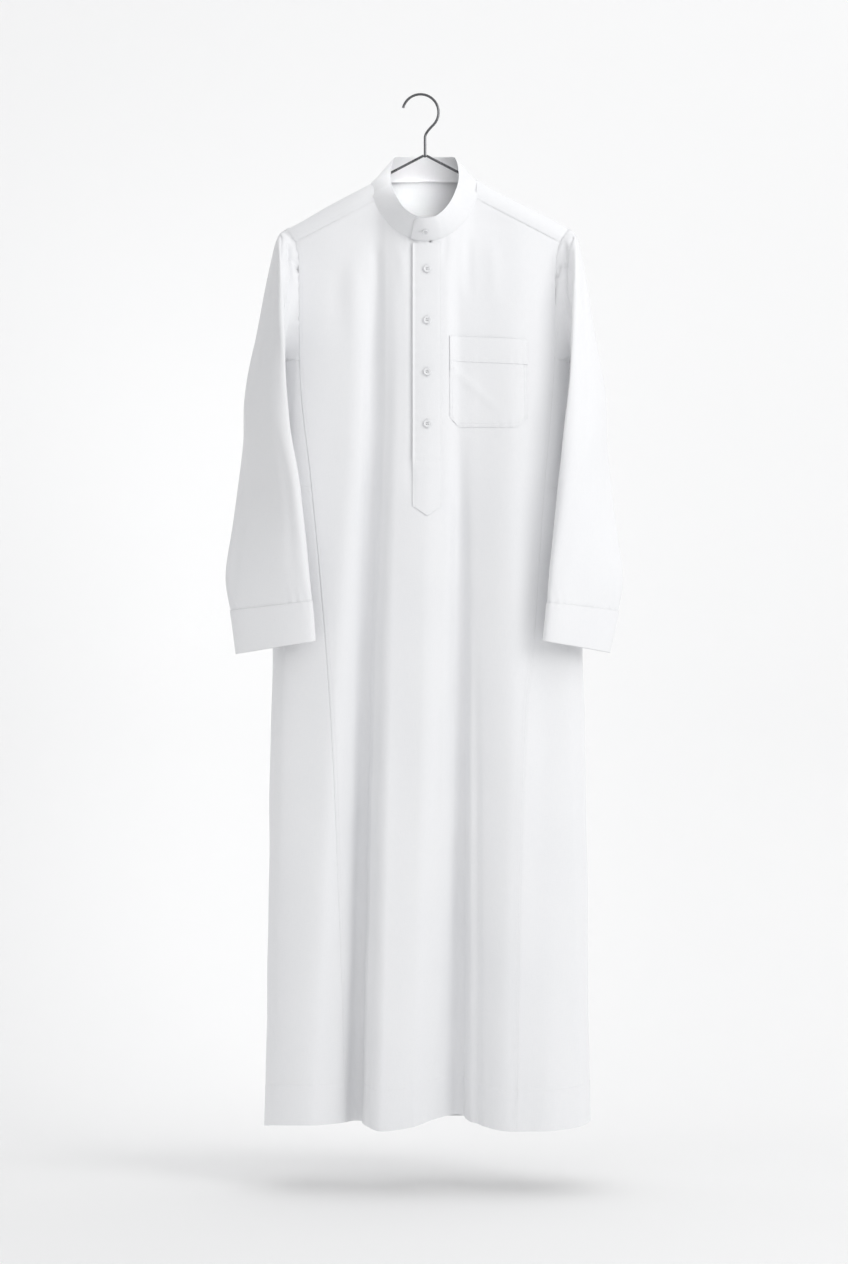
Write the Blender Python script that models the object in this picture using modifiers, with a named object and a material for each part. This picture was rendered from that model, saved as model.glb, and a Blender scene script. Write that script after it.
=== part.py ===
"""Long white thobe robe with a stand collar, hanging from a plain wire hanger.

Metres, +Z up, the front faces -Y and +X is to the viewer's right. The origin is the point
inside the crown of the hanger's hook where a rail bears. The cloth hangs from an empty
beside the hook's axis, and every piece of the garment is parented to it.
"""
import math

import bmesh
import bpy
import numpy as np
from mathutils import Vector

# Driving dimensions, metres.
MM = 0.001
GARMENT_X = 0.0101            # the garment's centre line, beside the hook's crown
CLOTH = 0.0012                # wall of one layer of shirting
CUFF_WALL = 0.0018
COLLAR_WALL = 0.0020
PLACKET_WALL = 0.0016
STAND_WALL = 0.0012
POCKET_WALL = 0.0010
POCKET_BAND_WALL = 0.0018
GAP = 0.0003                  # clear space between hard pieces
LAYER_GAP = 0.0008            # clear space between cloth that lies on cloth, whose facets differ
SEAM_GAP = 0.0005             # clear space between panels sewn edge to edge
YOKE_GAP = 0.0014             # the yoke and the front are cut into different facets
ARMHOLE_GAP = 0.0030          # the sleeve turns sharply away from the body here
NECK_GAP = 0.0024             # the collar stands up at an angle from the neckline

# Lines of points in the panels' grids.
FRONT_COLUMNS = 37
FRONT_ROWS = 23
BACK_COLUMNS = 27
BACK_ROWS = 18
SIDE_COLUMNS = 11
GUSSET_ROWS = 5
GORE_ROWS = 15
PANEL_FALL = 0.85             # below 1 a panel's rows lie wider apart at its top

UNDERARM_Z = -0.414
GUSSET_END_Z = -0.6115
YOKE_BACK_Z = -0.262
NECK_CENTRE = -0.0030              # the collar sits this far off the centre line
YOKE_NECK = (0.0830, -0.1665)      # inner end of the front yoke seam from the collar's middle
YOKE_TIP = (0.2050, -0.2300)       # outer end of the front yoke seam, |x| and z
SHOULDER_NECK = (0.0875, -0.1375)  # where the shoulder line leaves the collar, likewise
SHOULDER_TIP = (0.2190, -0.2075)   # where the shoulder line meets the armhole
YOKE_ROUND = 0.036                 # depth over which the back yoke rounds off the shoulder
YOKE_FALL = 1.6                    # above 1 its rows lie closer together near the shoulder
YOKE_SHOULDER_COLUMNS = 8
YOKE_NECK_COLUMNS = 13
YOKE_FRONT_ROWS = 4
YOKE_BACK_ROWS = 6

COLLAR_STEPS = 36
COLLAR_BASE_REACH = 0.0840
COLLAR_BASE_Z = -0.1315       # foot of the collar at the middle of the back
COLLAR_BASE_Y = -0.0070       # middle of the foot's ring, front to back
COLLAR_BASE_DEPTH = 0.0350    # and half its depth
COLLAR_SIDE_DROP = 0.0055     # fall of the foot from the back to the sides
COLLAR_FRONT_DROP = 0.0930    # and from the sides to the front
COLLAR_DROP_CURVE = 1.12
COLLAR_ON_FRONT = 0.25        # share of the way forward where the foot meets the front's cloth
COLLAR_TOP_X = -0.0040        # middle of the top's ring
COLLAR_TOP_Y = -0.0190
COLLAR_TOP_REACH = 0.0525     # half its width
COLLAR_TOP_DEPTH = 0.0560     # half its depth
COLLAR_TOP = (
    # share of the way to the front, height
    (0.00, -0.0905),
    (0.25, -0.0945),
    (0.50, -0.1270),
    (0.75, -0.1600),
    (1.00, -0.1990),
)
LAP_UNDER = math.radians(-194)     # the collar's ends, from the middle of the back
LAP_OVER = math.radians(196)
LAP_START = math.radians(140)      # where the ends part to lap
LAP_EASE = math.radians(24)
LAP_LIFT = 0.0006             # clear of the middle of the lap
COLLAR_LIFT = 0.0004          # share of its height that the foot stands off the neckline
COLLAR_BELLY = 0.0015
COLLAR_ROWS = 4
NECK_REACH = 0.0765           # half the width of the back neckline's flat run
PLACKET_WIDTH = 0.0450
PLACKET_TOP_Z = -0.2335
PLACKET_SHOULDER_Z = -0.6400
PLACKET_POINT_Z = -0.6560
PLACKET_SHOULDER_STEP = 0.0006     # the foot's sides are at least this tall at its corners
PLACKET_ROWS = 14
PLACKET_COLUMNS = 5
STAND_COLUMNS = 4
STAND_INSET = 0.0040          # the button stand's edges lie inside the placket's
STAND_BELOW_SLIT = 0.0120
SLIT_END_Z = -0.6000
SLIT_HALF_WIDTH = 0.0010
BUTTON_RADIUS = 0.0059
BUTTON_HEIGHT = 0.0024
BUTTON_PROFILE = (
    # share of the radius, share of the height
    (0.00, 0.76), (0.62, 0.76), (0.72, 1.00), (0.90, 1.00),
    (1.00, 0.64), (1.00, 0.27), (0.86, 0.00), (0.00, 0.00),
)
BUTTON_STEPS = 16
BUTTON_FIRST_Z = -0.2744
BUTTON_PITCH = 0.0798
BUTTON_COUNT = 4
COLLAR_BUTTON_X = -0.0035
COLLAR_BUTTON_RISE = 0.26     # share of the way between the collar's two middle rows
COLLAR_BUTTON_GAP = 0.0006    # the collar bends away from the button's flat back

POCKET_LEFT = 0.0340
POCKET_RIGHT = 0.1545
POCKET_TOP_Z = -0.3780
POCKET_TILT = -0.050          # fall of the pocket's mouth per metre across
POCKET_BAND = 0.0385
POCKET_BOTTOM_Z = -0.5190
POCKET_CORNER = 0.0150
POCKET_COLUMNS = 9
POCKET_ROWS = 6
POCKET_BAND_ROWS = 3

WIRE_RADIUS = 0.0020
ARM_GAP = 0.00035             # clear space beside the hook's neck, whose side the arms meet aslant
HOOK_RADIUS = 0.0280          # to the middle of the wire
HOOK_START = math.radians(166)
HOOK_END = math.radians(-44)
HOOK_LEAVE = 0.022            # how strongly the bend below the crown runs on from it
HOOK_ARRIVE = 0.020           # and runs into the neck
HOOK_STEPS = 22
BEND_STEPS = 9
NECK_X = 0.0070
NECK_TOP_Z = -0.0650
APEX_Z = -0.0925
BAR_Z = -0.2330
BAR_CORNER = 0.0220            # from the shoulder tip to where an arm turns down to the bar
ARM_SLOPE = 0.52
ARM_BEND_X = 0.0540           # from the neck to where an arm bends down behind the collar
ARM_DIP = (0.0740, -0.1415)   # from the neck to where it passes below the collar, and z
WIRE_BELOW_CLOTH = 0.0045     # middle of the wire below the middle of the shoulder cloth

# Fold lines all round the body, from the left side across the front, round the right side
# and back. Each row: name, then (x, y) in millimetres at the four levels below it, then how
# far the hem rises above its lowest line there.
LEVEL_Z = np.array([-0.200, UNDERARM_Z, -0.865, -1.600])
HEM_Z = -1.5990
FOLDS = (
    #  name                  shoulder      chest         hip           hem       rise
    ("side_left",          (-214,   0), (-223,   0), (-239,  -3), (-252,  -8),  0),
    ("corner_left",        (-203, -15), (-205, -29), (-222, -32), (-237, -44),  5),
    ("ridge_left",         (-113, -22), (-116, -49), (-141, -55), (-182, -66),  8),
    ("trough_left",        (-80,  -19), (-79,  -37), (-96,  -30), (-108, -16),  7),
    ("roll_edge_left",     (-62,  -25), (-62,  -46), (-76,  -48), (-94,  -52),  6),
    ("roll_left",          (-44,  -31), (-44,  -54), (-53,  -62), (-70,  -80),  1),
    ("centre",             (-4,   -37), (-4,   -58), (-10,  -64), (-24,  -71),  6),
    ("roll_right",         (28,   -33), (28,   -55), (24,   -53), (8,    -46), 14),
    ("trough_right",       (52,   -26), (51,   -46), (51,   -34), (42,   -16), 17),
    ("wall_right",         (77,   -20), (78,   -49), (77,   -47), (73,   -52),  9),
    ("ridge_right",        (124,  -22), (128,  -55), (129,  -60), (127,  -81),  1),
    ("flat_right",         (165,  -19), (165,  -49), (178,  -42), (177,  -79),  1),
    ("corner_right",       (203,  -15), (205,  -29), (222,  -25), (237,  -50),  5),
    ("side_right",         (214,    0), (223,    0), (242,   -2), (253,  -14),  8),
    ("back_corner_right",  (203,   15), (205,   29), (221,   32), (233,   46),  7),
    ("back_ridge_side",    (150,   22), (150,   43), (153,   55), (162,   69),  3),
    ("back_trough_right",  (95,    26), (95,    40), (98,    34), (100,   25), 10),
    ("back_ridge_right",   (47,    31), (47,    49), (44,    61), (40,    74),  2),
    ("back_trough_centre", (-8,    32), (-8,    46), (-11,   37), (-14,   26), 11),
    ("back_ridge_left",    (-66,   29), (-66,   49), (-68,   60), (-71,   71),  4),
    ("back_trough_left",   (-118,  24), (-118,  39), (-122,  36), (-127,  31),  9),
    ("back_ridge_end",     (-165,  20), (-165,  42), (-171,  52), (-182,  63),  3),
    ("back_corner_left",   (-203,  15), (-205,  29), (-222,  32), (-236,  42),  6),
)
FOLD_NAMES = [row[0] for row in FOLDS]
SIDE_RIGHT = FOLD_NAMES.index("side_right")
RING = len(FOLDS)
SCAN = 240                    # ring places read to find where the cloth has a given x
SCAN_HEIGHTS = np.linspace(-1.62, -0.12, 301)
SCANNED = {}

# Side seams of the front and back panels: height, then x on the left and on the right.
FRONT_SEAMS = (
    #  z        left     right, millimetres
    (-0.230,   -205.0,   205.0),
    (-0.258,   -199.0,   199.5),
    (-0.414,   -197.5,   196.5),
    (-0.612,   -178.0,   181.0),
    (-0.865,   -155.5,   163.0),
    (-0.957,   -149.0,   153.0),
    (-1.232,   -137.0,   142.5),
    (-1.600,   -126.0,   136.0),
)
BACK_SEAMS = (
    (-0.262,   -199.0,   199.0),
    (-0.414,   -197.5,   197.5),
    (-0.612,   -182.0,   182.0),
    (-0.865,   -163.0,   163.0),
    (-1.232,   -146.0,   146.0),
    (-1.600,   -136.0,   136.0),
)

# Rings of the sleeves below the armhole, millimetres from the garment's centre line. Each
# row: name, then the front fold, the outer face, the back fold and the inner face.
SLEEVE_LEFT = (
    ("valley",  (-206, -32, -312), (-229,   0, -214), (-208, 34, -312), (-235,  0, -411)),
    ("ridge",   (-221, -63, -330), (-236,   0, -228), (-226, 62, -330), (-245,  0, -424)),
    ("upper",   (-219, -75, -395), (-258,  -4, -335), (-238, 76, -390), (-248,  2, -458)),
    ("bicep",   (-213, -77, -500), (-281,  -8, -490), (-268, 74, -500), (-249,  6, -520)),
    ("forearm", (-197, -77, -618), (-261, -28, -622), (-294, 42, -626), (-236, -6, -622)),
    ("elbow",   (-184, -77, -732), (-256, -53, -739), (-310,  0, -745), (-240, -28, -738)),
    ("wrist",   (-177, -76, -786), (-246, -59, -794), (-303, -17, -800), (-235, -36, -792)),
    ("cuff",    (-172, -75, -848), (-239, -61, -859), (-295, -23, -868), (-228, -39, -857)),
)
SLEEVE_RIGHT = (
    ("valley",  (206, -32, -312), (229,   0, -214), (208, 34, -312), (235,   0, -411)),
    ("ridge",   (224, -63, -330), (236,   0, -228), (226, 62, -330), (245,   0, -424)),
    ("upper",   (221, -75, -395), (255,  -4, -335), (238, 76, -390), (248,   2, -458)),
    ("bicep",   (212, -79, -505), (275,  -8, -490), (264, 76, -500), (248,   6, -520)),
    ("forearm", (201, -82, -629), (260, -36, -628), (288, 44, -632), (237, -10, -630)),
    ("elbow",   (189, -84, -732), (256, -51, -739), (302,  8, -747), (238, -29, -738)),
    ("wrist",   (185, -86, -789), (248, -56, -795), (294, -2, -801), (233, -37, -793)),
    ("cuff",    (178, -86, -848), (238, -60, -858), (281, -10, -866), (225, -41, -856)),
)
RING_QUARTER = 5              # points in a quarter of a ring
SHOULDER_STEPS = 8            # points read along the parts of the armhole's edge
ARMHOLE_STEPS = 40
UNDERARM_STEPS = 25
RING_BOXINESS = 0.78          # below 1 the faces of a flattened tube lie flatter
WRIST = 7                     # station where the cuff is sewn on
CUFF_END = 8
WRIST_PART = 0.004            # share of a station left clear on each side of the cuff's seam
CLOSE_STATIONS = 3            # above this station the sleeve turns fast and has closer rings
CLOSE_RINGS = 8
OPEN_RINGS = 9
CUFF_RINGS = 3


# ---------------------------------------------------------------- curves and surfaces
def smooth(stations, values, at):
    """The smooth curve without overshoot through (stations, values), read at each `at`.

    The last axis of values runs along the stations; each point has its own values.
    """
    stations = np.asarray(stations, float)
    step = np.diff(stations)
    rate = np.diff(values, axis=-1) / step
    before = rate[..., :-1]
    after = rate[..., 1:]
    near = 2 * step[1:] + step[:-1]
    far = step[1:] + 2 * step[:-1]
    agree = before * after > 0
    first = np.where(agree, before, 1.0)
    second = np.where(agree, after, 1.0)
    inner = np.where(agree, (near + far) / (near / first + far / second), 0.0)
    slope = np.concatenate([rate[..., :1], inner, rate[..., -1:]], axis=-1)
    at = np.clip(at, stations[0], stations[-1])
    i = np.clip(np.searchsorted(stations, at, side="right") - 1, 0, len(step) - 1)
    t = (at - stations[i]) / step[i]

    def pick(table, index):
        return np.take_along_axis(table, index[..., None], axis=-1)[..., 0]

    a = pick(values, i)
    b = pick(values, i + 1)
    rise_a = pick(slope, i) * step[i]
    rise_b = pick(slope, i + 1) * step[i]
    return (a * (1 + 2 * t) * (1 - t) ** 2 + rise_a * t * (1 - t) ** 2
            + b * t * t * (3 - 2 * t) - rise_b * t * t * (1 - t))


def table_value(table, column, at):
    """One column of a seam table, in metres, read at heights `at`."""
    rows = sorted(table)
    at = np.asarray(at, float)
    values = np.array([row[column] * MM for row in rows])
    values = np.broadcast_to(values, at.shape + values.shape)
    return smooth([row[0] for row in rows], values, at)


def fold_positions(z, axis):
    """Where every fold line is at heights z, along x (axis 0) or y (axis 1)."""
    levels = LEVEL_Z[::-1]
    lines = np.array([[row[1 + k][axis] * MM for k in range(len(levels))][::-1] for row in FOLDS])
    lines = np.broadcast_to(lines, z.shape + lines.shape)
    return smooth(levels, lines, np.broadcast_to(z[..., None], z.shape + (RING,)))


def body_ring(p, z):
    """Points of the body at ring places p (0 to RING, one unit a fold line) and heights z."""
    p, z = np.broadcast_arrays(np.asarray(p, float), np.asarray(z, float))
    places = np.arange(-2, RING + 3)
    xy = []
    for axis in (0, 1):
        knots = fold_positions(z, axis)
        wrapped = np.concatenate([knots[..., -2:], knots, knots[..., :3]], axis=-1)
        xy.append(smooth(places, wrapped, p))
    return np.stack([xy[0], xy[1], z], axis=-1)


def hem_height(p):
    """Height of the hem's edge at ring places p."""
    rise = np.array([row[5] * MM for row in FOLDS])
    wrapped = np.concatenate([rise[-2:], rise, rise[:3]])
    p = np.asarray(p, float)
    return HEM_Z + smooth(np.arange(-2, RING + 3), np.broadcast_to(wrapped, p.shape + wrapped.shape), p)


def scanned_lines(back):
    """Ring places and their x at many heights, worked out once for the front or the back."""
    if back not in SCANNED:
        low, high = (SIDE_RIGHT, RING) if back else (0, SIDE_RIGHT)
        scan = np.linspace(low, high, SCAN)
        x = body_ring(scan[None, :], SCAN_HEIGHTS[:, None])[..., 0]
        if back:
            x = -x
        SCANNED[back] = (scan, np.maximum.accumulate(x, axis=-1))
    return SCANNED[back]


def ring_place(x, z, back=False):
    """Ring place where the front or the back of the body has the given x at heights z."""
    x, z = np.broadcast_arrays(np.asarray(x, float), np.asarray(z, float))
    scan, lines = scanned_lines(back)
    step = SCAN_HEIGHTS[1] - SCAN_HEIGHTS[0]
    row = np.clip((z.ravel() - SCAN_HEIGHTS[0]) / step, 0, len(SCAN_HEIGHTS) - 1.001)
    low = row.astype(int)
    share = (row - low)[:, None]
    line = lines[low] * (1 - share) + lines[low + 1] * share
    goal = -x.ravel() if back else x.ravel()
    found = [np.interp(g, values, scan) for g, values in zip(goal, line)]
    return np.array(found).reshape(x.shape)


def on_front(x, z, outwards=0.0):
    """Points of the front at x and z, moved out from the cloth by the given distance."""
    x, z = np.broadcast_arrays(np.asarray(x, float), np.asarray(z, float))
    point = body_ring(ring_place(x, z), z)
    reach = 0.004
    right = body_ring(ring_place(x + reach, z), z) - body_ring(ring_place(x - reach, z), z)
    place = ring_place(x, z)
    down = body_ring(place, z - reach) - body_ring(place, z + reach)
    normal = np.cross(down, right)
    normal /= np.linalg.norm(normal, axis=-1, keepdims=True)
    return point + normal * outwards


def shoulder_z(x):
    """Height of the shoulder line at |x|."""
    slope = (SHOULDER_TIP[1] - SHOULDER_NECK[1]) / (SHOULDER_TIP[0] - SHOULDER_NECK[0])
    return SHOULDER_NECK[1] + (np.abs(x) - SHOULDER_NECK[0]) * slope


def yoke_seam_z(x):
    """Height of the front yoke seam at |x|."""
    slope = (YOKE_TIP[1] - YOKE_NECK[1]) / (YOKE_TIP[0] - YOKE_NECK[0])
    return YOKE_NECK[1] + (np.abs(x) - YOKE_NECK[0]) * slope


def collar_rings(angle):
    """Base and top of the collar at angles from the middle of the back, +90 degrees right."""
    turn = (1 - np.cos(angle)) / 2
    ahead = np.clip(-np.cos(angle), 0, 1)
    base_x = NECK_CENTRE + COLLAR_BASE_REACH * np.sin(angle)
    base_z = (COLLAR_BASE_Z - COLLAR_SIDE_DROP * np.clip(2 * turn, 0, 1)
              - COLLAR_FRONT_DROP * ahead ** COLLAR_DROP_CURVE)
    base_y = COLLAR_BASE_Y + COLLAR_BASE_DEPTH * np.cos(angle)
    top_x = COLLAR_TOP_X + COLLAR_TOP_REACH * np.sin(angle)
    top_y = COLLAR_TOP_Y + COLLAR_TOP_DEPTH * np.cos(angle)
    share, height = zip(*COLLAR_TOP)
    top_z = smooth(share, np.broadcast_to(height, turn.shape + (len(height),)), turn)
    front = ahead > COLLAR_ON_FRONT
    base_y = np.where(front, on_front(base_x, base_z)[..., 1], base_y)
    return np.stack([base_x, base_y, base_z], -1), np.stack([top_x, top_y, top_z], -1)


def neckline_z(x):
    """Height of the front neckline, a gap outside the collar's base, at x."""
    angle = np.linspace(math.radians(75), math.radians(285), 181)
    base = collar_rings(angle)[0][:, [0, 2]]
    along = np.gradient(base, axis=0)
    away = np.stack([-along[:, 1], along[:, 0]], -1)
    away /= np.linalg.norm(away, axis=-1, keepdims=True)
    away *= -np.sign(away[len(away) // 2, 1])
    edge = base + away * NECK_GAP
    order = np.argsort(edge[:, 0])
    return np.interp(x, edge[order, 0], edge[order, 1])


# ---------------------------------------------------------------- making objects
def clear_scene():
    for thing in list(bpy.data.objects):
        bpy.data.objects.remove(thing, do_unlink=True)


def new_material(name, colour, roughness, metallic=0.0):
    material = bpy.data.materials.new(name)
    material.use_nodes = True
    shader = material.node_tree.nodes["Principled BSDF"]
    shader.inputs["Base Color"].default_value = (*colour, 1.0)
    shader.inputs["Roughness"].default_value = roughness
    shader.inputs["Metallic"].default_value = metallic
    return material


def add_object(name, data, material, parent=None):
    thing = bpy.data.objects.new(name, data)
    data.materials.append(material)
    bpy.data.collections["thobe_robe"].objects.link(thing)
    thing.parent = parent
    return thing


def sheet(name, grid, wall, material, parent, closed=False, keep=None):
    """Cloth through a grid of points (rows, columns): an open surface with a wall.

    closed joins the last column to the first; keep(row, column) leaves faces out.
    """
    rows, columns = grid.shape[:2]
    mesh = bpy.data.meshes.new(name)
    build = bmesh.new()
    verts = [[build.verts.new(point) for point in row] for row in grid]
    across = columns if closed else columns - 1
    for i in range(rows - 1):
        for j in range(across):
            if keep is not None and not keep(i, j):
                continue
            k = (j + 1) % columns
            build.faces.new((verts[i][j], verts[i + 1][j], verts[i + 1][k], verts[i][k]))
    loose = [vert for vert in build.verts if not vert.link_faces]
    bmesh.ops.delete(build, geom=loose, context="VERTS")
    build.to_mesh(mesh)
    build.free()
    thing = add_object(name, mesh, material, parent)
    mesh.shade_smooth()
    thicken = thing.modifiers.new("wall", "SOLIDIFY")
    thicken.thickness = wall
    thicken.offset = 0.0
    thicken.use_even_offset = True
    return thing


def wire(name, path, material, parent=None):
    """A round wire along a path of points."""
    curve = bpy.data.curves.new(name, "CURVE")
    curve.dimensions = "3D"
    curve.bevel_depth = WIRE_RADIUS
    curve.bevel_resolution = 2
    curve.use_fill_caps = True
    line = curve.splines.new("POLY")
    line.points.add(len(path) - 1)
    for point, place in zip(line.points, path):
        point.co = (*place, 1.0)
    return add_object(name, curve, material, parent)


# ---------------------------------------------------------------- body panels
def panel_grid(seams, top, columns, rows, back=False):
    """Grid of a front or back panel from its top edge to the hem, seam to seam."""
    share = np.linspace(0, 1, columns)
    inset = SEAM_GAP / 2

    def place(z):
        left = ring_place(table_value(seams, 1, z) + inset, z, back)
        right = ring_place(table_value(seams, 2, z) - inset, z, back)
        return left + (right - left) * share

    z_top = np.full(columns, top(0.0))
    for _ in range(8):
        z_top = top(body_ring(place(z_top), z_top)[:, 0])
    z_bottom = np.full(columns, HEM_Z)
    for _ in range(4):
        z_bottom = hem_height(place(z_bottom))
    grid = []
    for v in np.linspace(0, 1, rows) ** PANEL_FALL:
        z = z_top + (z_bottom - z_top) * v
        grid.append(body_ring(place(z), z))
    return np.array(grid)


def front_top(x):
    """Upper edge of the front: the yoke seams at the sides, the neckline between them."""
    x = np.asarray(x, float)
    seam = yoke_seam_z(x) - YOKE_GAP / 2
    beside_neck = np.abs(x - NECK_CENTRE) > YOKE_NECK[0]
    return np.where(beside_neck, seam, np.minimum(neckline_z(x), seam))


def make_front(material, parent):
    """Front panel, slit from the neckline down under the placket."""
    grid = panel_grid(FRONT_SEAMS, front_top, FRONT_COLUMNS, FRONT_ROWS)
    middle = int(np.argmin(np.abs(grid[0, :, 0])))
    slit_rows = int(np.argmin(np.abs(grid[:, middle, 2] - SLIT_END_Z)))
    left = grid[:, :middle + 1].copy()
    right = grid[:, middle:].copy()
    for half, way in ((left, -1), (right, 1)):
        column = -1 if way < 0 else 0
        z = half[:slit_rows, column, 2]
        half[:slit_rows, column] = on_front(np.full(len(z), way * SLIT_HALF_WIDTH), z)
    grid = np.concatenate([left, right], axis=1)
    grid[slit_rows:, middle] = grid[slit_rows:, middle + 1]
    panel = sheet("front", grid, CLOTH, material, parent, keep=lambda i, j: j != middle)
    weld(panel)


def weld(thing):
    """Joins the points that two halves of a sheet share, in its mesh."""
    build = bmesh.new()
    build.from_mesh(thing.data)
    bmesh.ops.remove_doubles(build, verts=build.verts, dist=0.00001)
    build.to_mesh(thing.data)
    build.free()


def back_top(x):
    return np.full_like(np.asarray(x, float), YOKE_BACK_Z - SEAM_GAP / 2)


def make_back(material, parent):
    grid = panel_grid(BACK_SEAMS, back_top, BACK_COLUMNS, BACK_ROWS, back=True)
    sheet("back", grid, CLOTH, material, parent)


def side_grid(side, z_top, z_bottom, columns, rows, to_hem):
    """Grid round one side of the body, from the front panel's seam to the back panel's."""
    share = np.linspace(0, 1, columns)
    inset = SEAM_GAP / 2
    column = 1 if side < 0 else 2

    def place(z):
        front = ring_place(table_value(FRONT_SEAMS, column, z) + side * inset, z)
        back = ring_place(table_value(BACK_SEAMS, column, z) + side * inset, z, back=True)
        if side < 0:
            return front + RING + (back - front - RING) * share
        return front + (back - front) * share

    low = np.full(columns, z_bottom)
    if to_hem:
        for _ in range(4):
            low = hem_height(place(low) % RING)
    grid = []
    for v in np.linspace(0, 1, rows):
        z = z_top + (low - z_top) * v
        grid.append(body_ring(place(z) % RING, z))
    return np.array(grid)


def make_sides(material, parent):
    for side, word in ((-1, "left"), (1, "right")):
        inset = SEAM_GAP / 2
        gusset = side_grid(side, UNDERARM_Z, GUSSET_END_Z + inset, SIDE_COLUMNS, GUSSET_ROWS,
                           to_hem=False)
        gore = side_grid(side, GUSSET_END_Z - inset, HEM_Z, SIDE_COLUMNS, GORE_ROWS, to_hem=True)
        sheet("gusset_" + word, gusset, CLOTH, material, parent)
        sheet("gore_" + word, gore, CLOTH, material, parent)


# ---------------------------------------------------------------- yoke and collar
def yoke_column(x_seam, x_ridge, on_shoulder, rows_front, rows_back):
    """Points of one line of the yoke, from the front seam over the shoulder to the back."""
    points = []
    if on_shoulder:
        top = np.array([x_ridge, 0.0, float(shoulder_z(x_ridge))])
        seam_z = float(yoke_seam_z(x_seam)) + YOKE_GAP / 2
        seam = body_ring(ring_place(x_seam, seam_z), seam_z)
        for t in np.linspace(0, math.pi / 2, rows_front + 1)[:-1]:
            x = seam[0] + (top[0] - seam[0]) * math.sin(t)
            y = seam[1] * math.cos(t)
            points.append((x, y, seam_z + (top[2] - seam_z) * math.sin(t)))
        x_low = math.copysign(min(abs(x_ridge), abs(x_seam) + MM), x_ridge)
    else:
        angle = math.asin((x_ridge - NECK_CENTRE) / COLLAR_BASE_REACH)
        top = collar_rings(np.array([angle]))[0][0]
        top = top + np.array([0.0, 0.0, -NECK_GAP])
        points.extend([tuple(top)] * rows_front)
        x_low = x_ridge
    end_z = YOKE_BACK_Z + SEAM_GAP / 2
    for v in np.linspace(0, 1, rows_back + 1):
        fall = v ** YOKE_FALL
        z = top[2] + (end_z - top[2]) * fall
        x = top[0] + (x_low - top[0]) * fall
        back = body_ring(ring_place(x, z, back=True), z)[1]
        depth = min(1.0, (top[2] - z) / YOKE_ROUND)
        y = top[1] + (back - top[1]) * math.sqrt(1 - (1 - depth) ** 2)
        points.append((x, y, z))
    return points


def yoke_grid(shoulder_columns, neck_columns, rows_front, rows_back):
    lines = []
    for side in (-1, 1):
        for share in np.linspace(1, 0, shoulder_columns):
            seam_in = NECK_CENTRE + side * YOKE_NECK[0]
            ridge_in = NECK_CENTRE + side * SHOULDER_NECK[0]
            x_seam = seam_in + (side * YOKE_TIP[0] - seam_in) * share
            x_ridge = ridge_in + (side * SHOULDER_TIP[0] - ridge_in) * share
            lines.append((x_ridge, yoke_column(x_seam, x_ridge, True, rows_front, rows_back)))
    for x in np.linspace(NECK_CENTRE - NECK_REACH, NECK_CENTRE + NECK_REACH, neck_columns):
        lines.append((x, yoke_column(x, x, False, rows_front, rows_back)))
    lines.sort(key=lambda line: line[0])
    return np.array([line[1] for line in lines]).transpose(1, 0, 2)


def make_yoke(material, parent):
    """Yoke over both shoulders and across the back, open in front of the neck."""
    grid = yoke_grid(YOKE_SHOULDER_COLUMNS, YOKE_NECK_COLUMNS, YOKE_FRONT_ROWS, YOKE_BACK_ROWS)

    def keep(i, j):
        beside = j < YOKE_SHOULDER_COLUMNS - 1 or j >= YOKE_SHOULDER_COLUMNS + YOKE_NECK_COLUMNS
        return i >= YOKE_FRONT_ROWS or beside

    sheet("yoke", grid, CLOTH, material, parent, keep=keep)


def collar_grid(steps, rows):
    """Stand collar: one band whose right end laps over its left end at the front."""
    angle = np.linspace(LAP_UNDER, LAP_OVER, steps)
    base, top = collar_rings(angle)
    up = top - base
    along = np.gradient(base, axis=0)
    outwards = np.cross(up, along)
    outwards /= np.linalg.norm(outwards, axis=-1, keepdims=True)
    parted = np.clip((np.abs(angle) - LAP_START) / LAP_EASE, 0, 1)
    lap = np.sign(angle) * parted * (COLLAR_WALL / 2 + LAP_LIFT)
    grid = []
    for t in np.linspace(0, 1, rows):
        share = COLLAR_LIFT + t * (1 - COLLAR_LIFT)
        belly = COLLAR_BELLY * math.sin(math.pi * t)
        grid.append(base + up * share + outwards * (lap + belly)[:, None])
    return np.array(grid)


def make_collar(material, parent):
    """Stand collar: one band, its right end over its left end."""
    grid = collar_grid(COLLAR_STEPS, COLLAR_ROWS)
    sheet("collar", grid[::-1], COLLAR_WALL, material, parent)


# ---------------------------------------------------------------- placket, pocket, buttons
def make_placket(material, parent):
    """Placket strip with a pointed foot, over the slit, and the button stand behind it."""
    half = PLACKET_WIDTH / 2
    outwards = CLOTH / 2 + LAYER_GAP + PLACKET_WALL / 2
    heights = np.linspace(PLACKET_TOP_Z, PLACKET_SHOULDER_Z, PLACKET_ROWS)
    across = np.linspace(-half, half, PLACKET_COLUMNS)
    grid = [on_front(across, np.full(len(across), z), outwards) for z in heights]
    point = PLACKET_SHOULDER_Z + (PLACKET_POINT_Z - PLACKET_SHOULDER_Z) * (1 - np.abs(across) / half)
    point = np.minimum(point, PLACKET_SHOULDER_Z - PLACKET_SHOULDER_STEP)
    grid.append(on_front(across, point, outwards))
    sheet("placket", np.array(grid), PLACKET_WALL, material, parent)
    inwards = -(CLOTH / 2 + LAYER_GAP + STAND_WALL / 2)
    heights = np.linspace(PLACKET_TOP_Z - STAND_INSET, SLIT_END_Z - STAND_BELOW_SLIT, PLACKET_ROWS)
    across = np.linspace(-half + STAND_INSET, half - STAND_INSET, STAND_COLUMNS)
    grid = [on_front(across, np.full(len(across), z), inwards) for z in heights]
    sheet("button_stand", np.array(grid), STAND_WALL, material, parent)


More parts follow.
